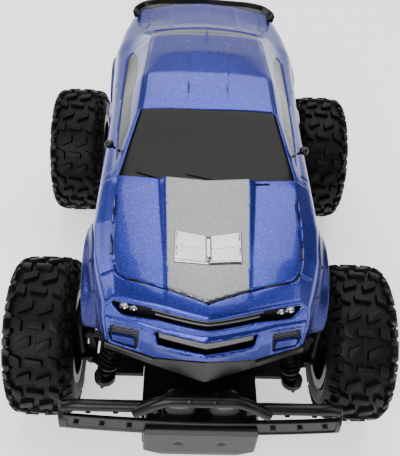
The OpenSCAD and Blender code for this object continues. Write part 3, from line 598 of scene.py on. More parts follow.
@dataclass(frozen=True)
class FlakePaint(Finish):
    """Metallic paint: fine bright flakes under a clear coat, on a slightly uneven moulding."""

    colour: tuple = (0.05, 0.1, 0.45)
    metal: float = 0.6
    roughness: float = 0.34
    coat: float = 0.6
    flake_scale: float = 3600.0
    peel_scale: float = 420.0

    def dress(self, nodes: Nodes) -> None:
        """Flakes are small Voronoi cells whose brightness and tilt vary."""
        place = nodes.place()
        flakes = nodes.add("ShaderNodeTexVoronoi", {"Vector": place, "Scale": self.flake_scale})
        glint = nodes.add("ShaderNodeSeparateColor", {"Color": flakes.outputs["Color"]}).outputs["Red"]
        c = self.colour
        paint = nodes.ramp(glint, [(0.0, scaled(c, 0.7)), (0.55, c), (0.86, scaled(c, 1.3)),
                                   (1.0, tuple(0.85 * v + 0.12 for v in c))])
        nodes.link(paint, "Base Color")
        nodes.set(Metallic=self.metal, Coat_Weight=self.coat, Coat_Roughness=0.06)
        cloud = nodes.noise(60.0, 2.0)
        nodes.link(nodes.spread(cloud, self.roughness - 0.04, self.roughness + 0.05), "Roughness")
        sparkle = nodes.bump(glint, 0.2, 0.0001)
        peel = nodes.bump(nodes.noise(self.peel_scale, 1.0), 0.05, 0.0003, sparkle)
        nodes.link(peel, "Normal")


@dataclass(frozen=True)
class Moulded(Finish):
    """Moulded plastic: a texture in the tool's surface, faint flow marks and a little dust."""

    colour: tuple = (0.02, 0.02, 0.02)
    grain: Grain = Grain.SATIN
    roughness: float = 0.42
    shine: float = 0.18

    def dress(self, nodes: Nodes) -> None:
        """The grain is noise at the tool's texture size, and the flow marks are slower noise."""
        scale, depth = {Grain.GLOSS: (900.0, 0.03), Grain.SATIN: (1700.0, 0.12),
                        Grain.COARSE: (1100.0, 0.3)}[self.grain]
        flow = nodes.noise(38.0, 4.0)
        nodes.shades(flow, self.colour, [(0.25, 0.82), (0.6, 1.0), (0.85, 1.25)])
        wear = nodes.noise(90.0, 5.0)
        nodes.link(nodes.spread(wear, self.roughness - 0.08, self.roughness + 0.1), "Roughness")
        nodes.link(nodes.bump(nodes.noise(scale, 2.0), depth, 0.00015), "Normal")
        nodes.set(Specular_IOR_Level=self.shine)


@dataclass(frozen=True)
class TreadRubber(Finish):
    """Tyre rubber: nearly black, dusty in patches, with a fine pitted skin."""

    colour: tuple = (0.004, 0.004, 0.004)

    def dress(self, nodes: Nodes) -> None:
        """Dust is slow noise, and the pits are fast noise."""
        dust = nodes.noise(55.0, 6.0, 0.65)
        nodes.shades(dust, self.colour, [(0.3, 0.75), (0.6, 1.0), (0.9, 2.1)])
        nodes.link(nodes.spread(dust, 0.38, 0.66), "Roughness")
        nodes.set(Specular_IOR_Level=0.14)
        pits = nodes.bump(nodes.noise(1500.0, 3.0), 0.16, 0.0002)
        nodes.link(nodes.bump(nodes.noise(160.0, 2.0), 0.08, 0.0006, pits), "Normal")


@dataclass(frozen=True)
class Metal(Finish):
    """Bare or plated metal with fine turned or drawn lines along one axis."""

    colour: tuple = (0.6, 0.61, 0.63)
    roughness: float = 0.3
    lines: tuple = (40.0, 40.0, 40.0)

    def dress(self, nodes: Nodes) -> None:
        """The lines are noise that is stretched along the axis with the smallest scale."""
        mapped = nodes.add("ShaderNodeMapping", {"Vector": nodes.place(), "Scale": self.lines})
        lines = nodes.add("ShaderNodeTexNoise", {"Vector": mapped.outputs["Vector"], "Scale": 40.0,
                                                 "Detail": 4.0}).outputs["Fac"]
        nodes.shades(lines, self.colour, [(0.2, 0.8), (0.7, 1.0), (1.0, 1.15)])
        nodes.set(Metallic=1.0)
        nodes.link(nodes.spread(lines, self.roughness - 0.08, self.roughness + 0.12), "Roughness")
        nodes.link(nodes.bump(lines, 0.08, 0.0002), "Normal")


@dataclass(frozen=True)
class ClearLens(Finish):
    """A clear moulded lens with faint moulding marks."""

    colour: tuple = (0.9, 0.93, 0.97)
    roughness: float = 0.05
    transmission: float = 0.85

    def dress(self, nodes: Nodes) -> None:
        """The moulding marks are a shallow bump."""
        marks = nodes.noise(240.0, 2.0)
        nodes.shades(marks, self.colour, [(0.2, 0.92), (0.8, 1.0)])
        nodes.set(Transmission_Weight=self.transmission, Roughness=self.roughness, IOR=1.49)
        nodes.link(nodes.bump(marks, 0.05, 0.0003), "Normal")


@dataclass(frozen=True)
class Backdrop(Finish):
    """A lit white sweep."""

    glow: float = 0.8

    def dress(self, nodes: Nodes) -> None:
        """It gives off a little light of its own, unevenly, as a sweep of paper on a light table does."""
        nodes.link(nodes.spread(nodes.noise(3.0, 2.0), 0.84, 0.88), "Base Color")
        nodes.set(Roughness=0.9, Specular_IOR_Level=0.1, Emission_Strength=self.glow,
                  Emission_Color=(1.0, 1.0, 1.0, 1.0))


@dataclass(frozen=True)
class CircuitBoard(Finish):
    """Green solder mask with darker squares where its copper runs."""

    def dress(self, nodes: Nodes) -> None:
        """The runs come from a brick pattern a few millimetres long."""
        mask, shade, run = (0.01, 0.09, 0.03, 1), (0.012, 0.12, 0.04, 1), (0.02, 0.2, 0.07, 1)
        brick = nodes.add("ShaderNodeTexBrick", {"Vector": nodes.place(), "Scale": 160.0, "Mortar Size": 0.03,
                                                 "Color1": mask, "Color2": shade, "Mortar": run})
        nodes.link(brick.outputs["Color"], "Base Color")
        nodes.link(nodes.bump(brick.outputs["Fac"], 0.2, 0.0002), "Normal")
        nodes.link(nodes.spread(nodes.noise(120.0), 0.3, 0.45), "Roughness")


@dataclass(frozen=True)
class Palette:
    """Every finish that the truck wears."""

    blue: FlakePaint = FlakePaint("metallic_blue", (0.017, 0.028, 0.28), 0.78, 0.28, 0.35)
    flare_blue: FlakePaint = FlakePaint("flare_blue", (0.007, 0.01, 0.12), 0.8, 0.36, 0.15)
    silver: FlakePaint = FlakePaint("metallic_silver", (0.17, 0.175, 0.185), 0.9, 0.34, 0.1)
    bright_silver: FlakePaint = FlakePaint("bright_silver", (0.4, 0.405, 0.42), 0.98, 0.17, 0.3)
    glazing: Moulded = Moulded("glazing_black", (0.002, 0.002, 0.0023), Grain.GLOSS, 0.16, 0.16)
    trim: Moulded = Moulded("trim_black", (0.0025, 0.0025, 0.003), Grain.GLOSS, 0.24, 0.3)
    grille: Moulded = Moulded("grille_black", (0.003, 0.003, 0.0035), Grain.SATIN, 0.4)
    slat: Moulded = Moulded("slat_grey", (0.09, 0.09, 0.095), Grain.SATIN, 0.3, 0.4)
    bumper: Moulded = Moulded("bumper_black", (0.004, 0.004, 0.0045), Grain.SATIN, 0.3, 0.25)
    chassis: Moulded = Moulded("chassis_black", (0.003, 0.003, 0.0033), Grain.COARSE, 0.45)
    arm: Moulded = Moulded("arm_black", (0.0035, 0.0035, 0.004), Grain.SATIN, 0.38)
    rim: Moulded = Moulded("rim_black", (0.004, 0.004, 0.0045), Grain.GLOSS, 0.3)
    rubber: TreadRubber = TreadRubber("tread_rubber")
    steel: Metal = Metal("bright_steel", (0.55, 0.56, 0.58), 0.28)
    can: Metal = Metal("motor_can", (0.5, 0.51, 0.54), 0.32, (2.0, 60.0, 60.0))
    spring: Metal = Metal("spring_wire", (0.02, 0.02, 0.022), 0.38)
    brass: Metal = Metal("pinion_brass", (0.7, 0.5, 0.2), 0.25)
    chrome: Metal = Metal("lamp_chrome", (0.4, 0.41, 0.43), 0.14)
    lens: ClearLens = ClearLens("clear_lens")
    smoke: ClearLens = ClearLens("smoked_lens", (0.12, 0.12, 0.125), 0.08, 0.6)
    red_lens: ClearLens = ClearLens("red_lens", (0.5, 0.01, 0.01), 0.12, 0.35)
    nylon: Moulded = Moulded("gear_nylon", (0.7, 0.69, 0.64), Grain.SATIN, 0.4, 0.4)
    cell: Moulded = Moulded("cell_sleeve", (0.02, 0.16, 0.09), Grain.GLOSS, 0.25, 0.5)
    switch: Moulded = Moulded("switch_red", (0.4, 0.015, 0.015), Grain.SATIN, 0.4)
    board: CircuitBoard = CircuitBoard("circuit_board")


PALETTE = Palette()


# ---------------------------------------------------------------- body


@dataclass(frozen=True)
class BodyCurves:
    """The body's half sections along its length, in millimetres, as pairs of Y and value."""

    top_z: tuple = ((-160, 147.5), (-156, 149.5), (-150, 151.5), (-131, 155), (-100, 158.5), (-72, 161),
                    (-67, 162), (-40, 171.5), (-17, 181), (-5, 184.5), (18, 187.5), (45, 187.8),
                    (74, 185.6), (86, 182.6), (113, 170), (125, 166.5), (150, 164), (168, 163), (172, 161))
    edge_x: tuple = ((-160, 51), (-150, 52), (-100, 54.5), (-64, 55), (-17, 44), (20, 42.5), (84, 38),
                     (113, 43), (140, 49), (168, 52), (172, 51))
    edge_z: tuple = ((-160, 143.5), (-150, 147), (-130, 150.5), (-100, 154), (-70, 157.5), (-17, 179),
                     (20, 184.5), (74, 182.5), (86, 179.5), (113, 167), (140, 161), (168, 160), (172, 158))
    belt_x: tuple = ((-160, 55), (-150, 57), (-130, 60), (-100, 61), (-70, 61), (-23, 60), (74, 58.5),
                     (140, 57), (172, 55))
    belt_z: tuple = ((-160, 139), (-150, 143), (-130, 147), (-100, 150.5), (-70, 154), (-23, 157),
                     (74, 160), (111, 160.5), (140, 158), (172, 155))
    side_x: tuple = ((-160, 58), (-150, 62), (-130, 66), (-100, 68), (-23, 67), (20, 67), (104, 69),
                     (140, 66), (168, 61), (172, 59))
    side_z: tuple = ((-160, 128), (-150, 132), (-130, 138), (-100, 142), (0, 140), (104, 146), (172, 142))
    sill_x: tuple = ((-160, 57), (-150, 61), (-130, 65), (-70, 66), (104, 66), (140, 63), (172, 56))
    sill_z: tuple = ((-160, 109), (-134, 109), (-126, 103), (132, 103), (150, 108), (172, 108))
    sweep: tuple = ((-160, 22), (-150, 21), (-130, 15), (-100, 9), (-70, 9), (-45, 8), (-20, 4), (20, 0),
                    (74, 0), (113, -5), (150, -9), (172, -11))
    nose_lean: tuple = ((106, 7), (122, 7.5), (135, 4.5), (147, 0))
    nose_share: tuple = ((-160, 1), (-148, 0.6), (-130, 0))
    plan_power: tuple = ((110, 1.04), (122, 1.05), (136, 1.12), (144, 1.25))
    half_width: float = 58.0


class BodySurface:
    """The body's outer surface, as a function of how far along and how far round it is."""

    counts = (26, 16, 20, 46)

    def __init__(self, curves: BodyCurves) -> None:
        """Keeps the curves."""
        self.curves = curves

    def bent(self, x: Array, y: Array, z: Array) -> Array:
        """Sweeps the sides back and leans the nose: y + sweep (|x| / w)^p - share lean."""
        c = self.curves
        side = (np.abs(x) / c.half_width) ** read_curve(c.plan_power, z)
        lean = read_curve(c.nose_share, y) * read_curve(c.nose_lean, z)
        return np.stack([x, y + read_curve(c.sweep, y) * side - lean, z], -1)

    def patch(self, start: float, end: float, cell: float, rounding: float = 0.0) -> Array:
        """A grid of the surface, with rows along Y and columns from the left sill over to the right one.

        Args:
            start: The first station, in millimetres.
            end: The last one.
            cell: About how far apart the rows are.
            rounding: The radius with which the first row turns down into the nose.

        Returns:
            Rows by columns by 3.
        """
        y = np.linspace(start, end, int(round((end - start) / cell)) + 1)
        if rounding:
            near = np.linspace(0, 1, 7)[:-1] ** 2 * rounding
            y = np.concatenate([start + near, y[y > start + rounding]])
        c = self.curves
        soft = {name: round_curve(getattr(c, name), y, 2.2) for name in
                ("top_z", "edge_x", "edge_z", "belt_x", "belt_z", "side_x", "side_z", "sill_x", "sill_z")}
        g = {name: value[:, None] for name, value in soft.items()}
        n0, n1, n2, n3 = self.counts
        t0, t1, t2 = (np.arange(n)[None] / n for n in (n0, n1, n2))
        t3 = np.arange(n3 + 1)[None] / n3
        x = np.concatenate([g["sill_x"] + (g["side_x"] - g["sill_x"]) * t0,
                            g["side_x"] + (g["belt_x"] - g["side_x"]) * (1 - np.sqrt(1 - t1 ** 2)),
                            g["belt_x"] + (g["edge_x"] - g["belt_x"]) * t2, g["edge_x"] * (1 - t3)], 1)
        z = np.concatenate([g["sill_z"] + (g["side_z"] - g["sill_z"]) * t0,
                            g["side_z"] + (g["belt_z"] - g["side_z"]) * t1,
                            g["belt_z"] + (g["edge_z"] - g["belt_z"]) * t2,
                            g["edge_z"] + (g["top_z"] - g["edge_z"]) * (1 - (1 - t3) ** 2.4)], 1)
        x = np.concatenate([x, -x[:, -2::-1]], 1)
        z = np.concatenate([z, z[:, -2::-1]], 1)
        x, z = self.soften(x), self.soften(z)
        points = self.bent(x, np.broadcast_to(y[:, None], x.shape), z)
        if rounding:
            left = np.clip(1 - (y - start) / rounding, 0, 1)[:, None]
            drop = rounding * (1 - np.sqrt(1 - left ** 2))
            points -= self.normals(points) * [1, 0, 1] * drop[..., None]
        return points

    @staticmethod
    def soften(values: Array) -> Array:
        """Averages along the columns with a bell-shaped weight, so that the section's corners are round."""
        reach = 5
        offsets = np.arange(-reach, reach + 1)
        bell = np.exp(-0.5 * (offsets / 1.8) ** 2)
        padded = np.pad(values, ((0, 0), (reach, reach)), mode="reflect", reflect_type="odd")
        return sum(w * padded[:, reach + k: reach + k + values.shape[1]]
                   for k, w in zip(offsets, bell / bell.sum()))

    @staticmethod
    def normals(points: Array) -> Array:
        """Unit outward directions, from the grid's own slopes."""
        n = np.cross(np.gradient(points, axis=0), np.gradient(points, axis=1))
        return n / np.maximum(np.linalg.norm(n, axis=-1, keepdims=True), TINY)


def slide(points: Array, chosen: Array, target: Array, axes: tuple[int, int]) -> None:
    """Moves chosen grid points within their surface, so that they land on targets seen along one axis.

    Args:
        points: The grid, changed in place.
        chosen: Which of its points move.
        target: Where they land, one row for each, in the two axes.
        axes: The two axes in which the targets are given.
    """
    a = np.gradient(points, axis=0)[chosen]
    b = np.gradient(points, axis=1)[chosen]
    gap = target - points[chosen][:, axes]
    a2, b2 = a[:, axes], b[:, axes]
    area = a2[:, 0] * b2[:, 1] - a2[:, 1] * b2[:, 0]
    area = np.where(np.abs(area) < 1e-6, 1e-6, area)
    s = np.clip((gap[:, 0] * b2[:, 1] - gap[:, 1] * b2[:, 0]) / area, -1, 1)
    t = np.clip((a2[:, 0] * gap[:, 1] - a2[:, 1] * gap[:, 0]) / area, -1, 1)
    points[chosen] += s[:, None] * a + t[:, None] * b


def cut(points: Array, keep: Array, outline: Array, axes: tuple[int, int], where: Array) -> None:
    """Opens a grid within an outline and lines the opening's edge up with it.

    Args:
        points: The grid, changed in place.
        keep: Which of its quads stay, changed in place.
        outline: The closed outline, in the two axes.
        axes: The axes that the outline is drawn in.
        where: Which quads may be cut.
    """
    middle = middles(points)
    hit = inside(middle[..., axes].reshape(-1, 2), outline).reshape(keep.shape) & where & keep
    if not hit.any():
        return
    gone = np.zeros(points.shape[:2], bool)
    stay = np.zeros(points.shape[:2], bool)
    for rows, columns in ((slice(None, -1), slice(None, -1)), (slice(1, None), slice(None, -1)),
                          (slice(None, -1), slice(1, None)), (slice(1, None), slice(1, None))):
        gone[rows, columns] |= hit
        stay[rows, columns] |= keep & ~hit
    edge = gone & stay
    near, _ = polyline_nearest(points[edge][:, axes], np.concatenate([outline, outline[:1]]))
    slide(points, edge, near, axes)
    keep &= ~hit


def carve(points: Array, line: Points, axes: tuple[int, int], where: Array, depth: float,
          width: float = 0.6, snap: float = 0.45) -> None:
    """Presses a narrow groove into a grid along a line, or raises a ridge with a negative depth.

    Args:
        points: The grid, changed in place.
        line: The line's corners, in the two axes.
        axes: The axes that the line is drawn in.
        where: Which points may move.
        depth: How deep the groove is.
        width: The groove's half width.
        snap: Points nearer than this are pulled onto the line first.
    """
    path = np.asarray(line, float)
    near, gap = polyline_nearest(points[..., axes].reshape(-1, 2), path)
    close = (gap.reshape(where.shape) < snap) & where
    if snap and close.any():
        slide(points, close, near[close.ravel()], axes)
        _, gap = polyline_nearest(points[..., axes].reshape(-1, 2), path)
    press = depth * np.exp(-(gap.reshape(where.shape) / width) ** 2) * where
    points -= BodySurface.normals(points) * press[..., None]


@dataclass
class Bodywork:
    """The painted shell with its glazing, nose, lamps, flares, mirrors, splitter and spoiler."""

    curves: BodyCurves = BodyCurves()
    wall: float = 1.5
    # half width of the painted shade strip laid in black along the hood gaps
    painted_gap_shade: float = 0.45
    hood_corner: float = 6.0
    stripe: tuple = ((-152.0, 21.4), (-68.0, 25.0))
    bulge: float = 1.5
    windscreen: tuple = ((-55, -60), (-35, -66), (-27, -66.5), (-24.5, -69), (0, -69.6), (24.5, -69),
                         (27, -66.5), (35, -66), (55, -60), (43.5, -14), (0, -16), (-43.5, -14))
    back_light: tuple = ((-38, 76.5), (0, 74), (38, 76.5), (40, 110), (0, 114), (-40, 110))
    side_light: tuple = ((-46, 159.5), (-20, 170.5), (30, 174), (60, 171), (82, 164.5), (80, 161.5),
                         (30, 160.5))
    hood_gap: tuple = ((0, -151.6), (48, -132), (51.5, -127), (54, -118), (55, -97), (54.5, -73))
    arch_r: float = 31.0
    arch_z: float = 107.0
    arch_y: tuple = (-98.0, 106.0)
    flare_x: float = 72.3
    rivet_r: float = 36.4
    rivet_turns: tuple = (8, 38, 66, 114, 142, 172)
    nose_y: float = -160.0
    cowl_y: float = -66.0
    deck_y: float = 86.0
    tail_y: float = 172.0
    hood_low: float = 143.0
    roof_low: float = 150.0
    side_low: float = 30.0
    pane_depth: float = 0.45
    pane_wall: float = 0.9
    grille: tuple = ((0, 146.2), (34, 144.4), (53, 140.6), (51.8, 138), (46.8, 134), (27, 138.4), (0, 140.4))
    lower_grille: tuple = ((0, 133.6), (28.6, 130.7), (26.4, 122.2), (0, 126.0))
    intake: tuple = ((36.8, 128.2), (53.4, 124.8), (54.6, 117), (53.4, 109.8), (38.4, 111.6))
    tail_lamps: tuple = ((24, 147.0), (40, 147.0), (-24, 147.0), (-40, 147.0))
    tail_lamp_r: float = 5.6
    top_view: tuple = (0, 1)
    side_view: tuple = (1, 2)
    front_view: tuple = (0, 2)

    def __post_init__(self) -> None:
        """Makes the surface that every part of the bodywork is drawn on."""
        self.surface = BodySurface(self.curves)

    def build(self) -> None:
        """Builds and dresses every piece."""
        self.front_clip()
        self.cabin()
        self.quarters()
        self.glass()
        self.hood_vent()
        self.nose()
        self.tail()
        self.flares()
        self.fittings()

    def arches(self, points: Array, keep: Array) -> None:
        """Cuts the wheel arches out of a grid."""
        turn = np.linspace(0, 2 * np.pi, 120, endpoint=False)
        x = middles(points)[..., 0]
        for y in self.arch_y:
            ring = np.column_stack([y + self.arch_r * np.cos(turn), self.arch_z + self.arch_r * np.sin(turn)])
            for side in Side:
                cut(points, keep, ring, self.side_view, x * side.value > self.side_low)

    def stripe_half(self, y: Array) -> Array:
        """Half the silver stripe's width at each Y."""
        return read_curve(self.stripe, y)

    def front_clip(self) -> None:
        """The hood, with its raised silver middle and panel gaps, and the front fenders. The quads along the
        gaps' grooves carry the black trim finish as painted shade.
        """
        p = self.surface.patch(self.nose_y, self.cowl_y, 0.72, rounding=1.6)
        top = p[..., 2] > self.hood_low
        half = self.stripe_half(p[..., 1])
        for side in Side:
            off = side.value * p[..., 0] - half
            close = (np.abs(off) < 0.5) & top
            slide(p, close, np.stack([side.value * half[close], p[..., 1][close]], 1), self.top_view)
        x, y = p[..., 0], p[..., 1]
        height = self.bulge * (0.35 + blend_step(y, -135, -66)) * blend_step(y, -157, -134)
        outside = np.abs(x) - self.stripe_half(y)
        foot = np.interp(y, [-140, -68], [2.2, 5.0])
        p[..., 2] += np.where(top, height * (1 - blend_step(outside, 0, foot)), 0)
        for side in Side:
            gap = rounded_open([(side.value * a, b) for a, b in self.hood_gap], self.hood_corner)
            carve(p, gap, self.top_view, top & (side.value * x > -1), 1.25, 0.5)
            door_edge = (side.value * x > 55) & (p[..., 2] < 152)
            carve(p, [(-75, 122), (-75, 150)], self.side_view, door_edge, 0.4)
            carve(p, [(side.value * 61, -126.5), (side.value * 51, -127)], self.top_view,
                  top & (side.value * x > 48), 0.6)
        keep = all_quads(p)
        self.arches(p, keep)
        middle = middles(p)
        # painted shade: quads within this distance of each hood gap get the black trim finish in place of the
        # groove's shade
        painted_gap_shade = np.zeros(keep.shape, bool)
        for side in Side:
            gap = rounded_open([(side.value * a, b) for a, b in self.hood_gap], self.hood_corner)
            _, away = polyline_nearest(middle[..., :2].reshape(-1, 2), gap)
            painted_gap_shade |= (away.reshape(keep.shape) < self.painted_gap_shade) & (middle[..., 2] > self.hood_low)
        v_gap = np.interp(np.abs(middle[..., 0]), [0, 48], [-151.6, -132])
        silver = (np.abs(middle[..., 0]) < self.stripe_half(middle[..., 1])) & (middle[..., 1] > v_gap)
        silver &= middle[..., 2] > self.hood_low
        self.nose_edge = p[0]
        parts = MeshParts()
        # material 2 is the painted gap shade, in black trim
        parts.grid(p, keep=keep, mark=np.where(painted_gap_shade, 2, silver.astype(int)))
        parts.piece("front_clip", [PALETTE.blue, PALETTE.silver, PALETTE.trim],
                    "chassis", "body_blue", "body_shell", wall=self.wall)
        self.hood = p

    def cabin(self) -> None:
        """The roof with its two ribs, the pillars and the doors."""
        p = self.surface.patch(self.cowl_y, self.deck_y, 0.92)
        keep = all_quads(p)
        x, z = p[..., 0], p[..., 2]
        high = z > 158
        for side in Side:
            s = side.value
            carve(p, [(s * 12, -8), (s * 13.5, 60)], self.top_view, high, -0.5, 0.9, 0)
            carve(p, [(s * 43.6, -14), (s * 42, 20), (s * 39.6, 74)], self.top_view, high, 0.7, 0.5)
            flank = (s * x > 50) & (z < 158)
            door = rounded_open([(-50, 156), (-47, 112), (44, 110), (50, 140), (47, 158)], 7)
            carve(p, door, self.side_view, flank, 0.5)
            carve(p, [(20, 149), (33, 149)], self.side_view, flank, -1.1, 1.5, 0)
            carve(p, [(-45, 119), (45, 117)], self.side_view, flank, 0.5, 2.4, 0)
        mid = middles(p)
        cut(p, keep, rounded_outline(self.windscreen, 2.5), self.top_view, mid[..., 2] > self.roof_low)
        cut(p, keep, rounded_outline(self.back_light, 2.5), self.top_view, mid[..., 2] > self.roof_low)
        for side in Side:
            cut(p, keep, rounded_outline(self.side_light, 3), self.side_view,
                side.value * mid[..., 0] > self.side_low)
        self.arches(p, keep)
        parts = MeshParts()
        parts.grid(p, keep=keep)
        parts.piece("cabin_shell", [PALETTE.blue], "chassis", "body_blue", wall=self.wall)
        parts = MeshParts()
        self.fin(parts)
        parts.piece("roof_fin", [PALETTE.blue], "chassis", "body_blue", angle=60)

    def fin(self, parts: MeshParts) -> None:
        """A small shark fin: a grid whose thickness is a half ellipse along its length."""
        t = np.linspace(0, 1, 25)[:, None]
        v = np.linspace(-1, 1, 17)[None]
        y = 57.5 + 15.5 * t + 0 * v
        crest = 185.6 + 4.9 * blend_step(t, 0, 1) * (1 - 0.12 * blend_step(t, 0.85, 1))
        base = 185.2 - 0.6 * t
        wide = 1.5 * np.sqrt(np.clip(1 - (2 * t - 1) ** 4, 0, 1)) + 0.01
        parts.grid(np.stack([-wide * np.sin(v * np.pi / 2) * (1 - 0.25 * (1 - v * v)), y,
                             base + (crest - base) * np.cos(v * np.pi / 2) ** 0.8], -1))

    def quarters(self) -> None:
        """The rear fenders, the back light's frame and the deck."""
        p = self.surface.patch(self.deck_y, self.tail_y, 0.8)
        keep = all_quads(p)
        top = p[..., 2] > 156
        carve(p, rounded_open([(-46, 118), (-44, 128), (-44, 166), (44, 166), (44, 128), (46, 118)], 4),
              self.top_view, top, 0.6)
        for side in Side:
            carve(p, [(side.value * 26, 118), (side.value * 24, 164)], self.top_view, top, -0.6, 1.8, 0)
        mid = middles(p)
        cut(p, keep, rounded_outline(self.back_light, 2.5), self.top_view, mid[..., 2] > self.roof_low)
        self.arches(p, keep)
        parts = MeshParts()
        parts.grid(p, keep=keep)
        parts.piece("rear_quarters", [PALETTE.blue], "chassis", "body_blue", wall=self.wall)
        self.tail_edge = p[-1]

    def glass(self) -> None:
        """Black panes just under the shell's surface, and the wipers moulded on the windscreen."""
        panes = [("windscreen", self.windscreen, self.top_view, (-72, -8), 0),
                 ("back_light", self.back_light, self.top_view, (70, 120), 0)]
        for side in Side:
            panes.append((f"side_light_{side.name.lower()}", self.side_light, self.side_view, (-52, 90),
                          side.value))
        for name, outline, axes, (start, end), sign in panes:
            p = self.surface.patch(start, end, 1.2)
            p -= self.surface.normals(p) * self.pane_depth
            mid = middles(p)
            flat = mid[..., axes].reshape(-1, 2)
            ring = rounded_outline(outline, 2.5)
            _, gap = polyline_nearest(flat, np.concatenate([ring, ring[:1]]))
            keep = (inside(flat, ring) | (gap < 1.6)).reshape(mid.shape[:2])
            keep &= (sign * mid[..., 0] > self.side_low) if sign else (mid[..., 2] > self.roof_low)
            parts = MeshParts()
            parts.grid(p, keep=keep)
            nodes = ["window_tub"] if name == "windscreen" else []
            parts.piece(name, [PALETTE.glazing], "chassis", "glazing", *nodes, wall=self.pane_wall)
        self.screen = self.surface.patch(-72, -20, 0.5)
        parts = MeshParts()
        for pivot, tip in (((-20, -66.5), (-44, -56.5)), ((16, -67), (-13, -60)), ((16, -67), (38, -63.5))):
            path = self.on_top(np.linspace(pivot, tip, 24), 0.55)
            tube(parts, path, 0.55 - 0.2 * np.linspace(0, 1, 24), sides=10)
        parts.piece("wipers", [PALETTE.trim], "chassis", "trim_black", angle=60)

    def on_top(self, xy: Array, lift: float) -> Array:
        """Places X and Y pairs on the windscreen or hood, lifted off the surface."""
        flat = self.screen.reshape(-1, 3)
        index = np.argmin(np.linalg.norm(flat[None, :, :2] - xy[:, None], axis=2), axis=1)
        return np.column_stack([xy, flat[index, 2] + lift])

    def hood_vent(self) -> None:
        """A bright insert in the hood: two rows of two louvres on either side of a fin."""
        x = np.linspace(-18.6, 18.6, 150)[:, None]
        t = np.linspace(0, 1, 110)[None]
        back = -104.5 - 5.0 * (1 - np.abs(x) / 18.6) ** 0.8
        front = -126 - 2.0 * (1 - np.abs(x) / 18.6)
        y = front + (back - front) * t
        flat = self.hood[self.hood[..., 2] > 146]
        near = flat[(np.abs(flat[:, 0]) < 20) & (flat[:, 1] > -132) & (flat[:, 1] < -100)]
        terms = np.column_stack([np.ones(len(near)), near[:, 1], near[:, 1] ** 2, near[:, 0] ** 2])
        fit = np.linalg.lstsq(terms, near[:, 2], rcond=None)[0]
        base = fit[0] + fit[1] * y + fit[2] * y ** 2 + fit[3] * x ** 2
        row = np.where(t < 0.5, t / 0.5, (t - 0.5) / 0.5)
        louvre = 1.5 * row ** 1.2 * (1 - blend_step(row, 0.9, 1.0)) - 0.2 * blend_step(row, 0.9, 1.0)
        rim = np.minimum.reduce(np.broadcast_arrays(t * 20, (1 - t) * 20, 18.6 - np.abs(x)))
        inner = blend_step(rim, 0.9, 1.5)
        column = blend_step(np.abs(x), 1.2, 1.9)
        fin = 1.5 * (1 - blend_step(np.abs(x), 0.5, 1.5)) * blend_step(t, 0.02, 0.2)
        fin = fin * (1 - blend_step(t, 0.8, 1))
        lift = 0.45 * blend_step(rim, 0, 0.5) + (louvre - 0.35) * inner * column + fin + 0.05
        parts = MeshParts()
        parts.grid(np.stack([x + 0 * t, y, base + lift], -1)[:, ::-1].transpose(1, 0, 2)[:, ::-1])
        parts.piece("hood_vent", [PALETTE.bright_silver], "chassis", "body_blue", angle=30, wall=0.6)

    def end_face(self, edge: Array, station: float) -> Array:
        """Fills the shell's end: rows climb from the sill and columns run from left to right.

        Args:
            edge: The shell's last row of points, from the left sill over to the right one.
            station: Where along Y the end stands before it is swept back.

        Returns:
            Rows by columns by 3, which meet the edge along the sides and the top.
        """
        k = sum(self.surface.counts[:3])
        side, top = edge[: k + 1], edge[k: len(edge) - k]
        rise = np.linspace(0, 1, k + 1)[:, None]
        across = top[:, 0] / top[0, 0]
        x = side[:, :1] * across[None]
        z = side[:, 2:] + (top[None, :, 2] - top[0, 2]) * rise ** 2
        p = self.surface.bent(x, np.full(x.shape, station), z)
        p[..., 1] += (top[:, 1] - p[-1, :, 1])[None] * rise ** 6
        p[..., 1] += (side[:, 1] - p[:, 0, 1])[:, None] * np.abs(across)[None] ** 10 * (1 - rise ** 6)
        return p

    @staticmethod
    def whole(half: Points) -> Array:
        """Both halves of an outline that is given for x above zero."""
        h = np.asarray(half, float)
        inner = h[h[:, 0] > 0]
        start, end = h[0], h[-1]
        return np.concatenate([[start], inner, [end], inner[::-1] * [-1, 1]])

    def at_nose(self, x: Array, z: Array, behind: float) -> Array:
        """Points that lie some way behind the nose's face.

        Args:
            x: How far to the left each point is.
            z: How high it is.
            behind: How far behind the face all of them are.

        Returns:
            The points, with three numbers along the last axis.
        """
        x, z = np.broadcast_arrays(np.asarray(x, float), np.asarray(z, float))
        return self.surface.bent(x, np.full(x.shape, self.nose_y), z) + [0, behind, 0]

    def nose(self) -> None:
        """The nose: its openings, slats, meshes, lamps and chin splitter."""
        p = self.end_face(self.nose_edge, self.nose_y)
        keep = all_quads(p)
        for s in BOTH:
            x = s * p[..., 0] > -0.5
            carve(p, [(0, 135.4), (s * 27, 133), (s * 37, 132.8), (s * 56.5, 128.6)], self.front_view, x,
                  -0.9, 1.1, 0.3)
            carve(p, [(0, 124.6), (s * 27.4, 120.6), (s * 31, 131), (s * 35.5, 129.7), (s * 55, 126.2)],
                  self.front_view, x, -0.7, 0.9, 0.3)
            carve(p, [(s * 55.6, 118), (s * 54.4, 108.9), (s * 37.4, 110.6)], self.front_view, x,
                  -0.5, 0.7, 0)
        open_all = all_quads(p)
        cut(p, keep, rounded_outline(self.whole(self.grille), 1.0), self.front_view, open_all)
        cut(p, keep, rounded_outline(self.whole(self.lower_grille), 0.8), self.front_view, open_all)
        for s in BOTH:
            cut(p, keep, rounded_outline(np.asarray(self.intake) * [s, 1], 1.2), self.front_view, open_all)
        parts = MeshParts()
        parts.grid(p, keep=keep)
        parts.piece("nose_face", [PALETTE.blue], "chassis", "body_blue", wall=2.0)

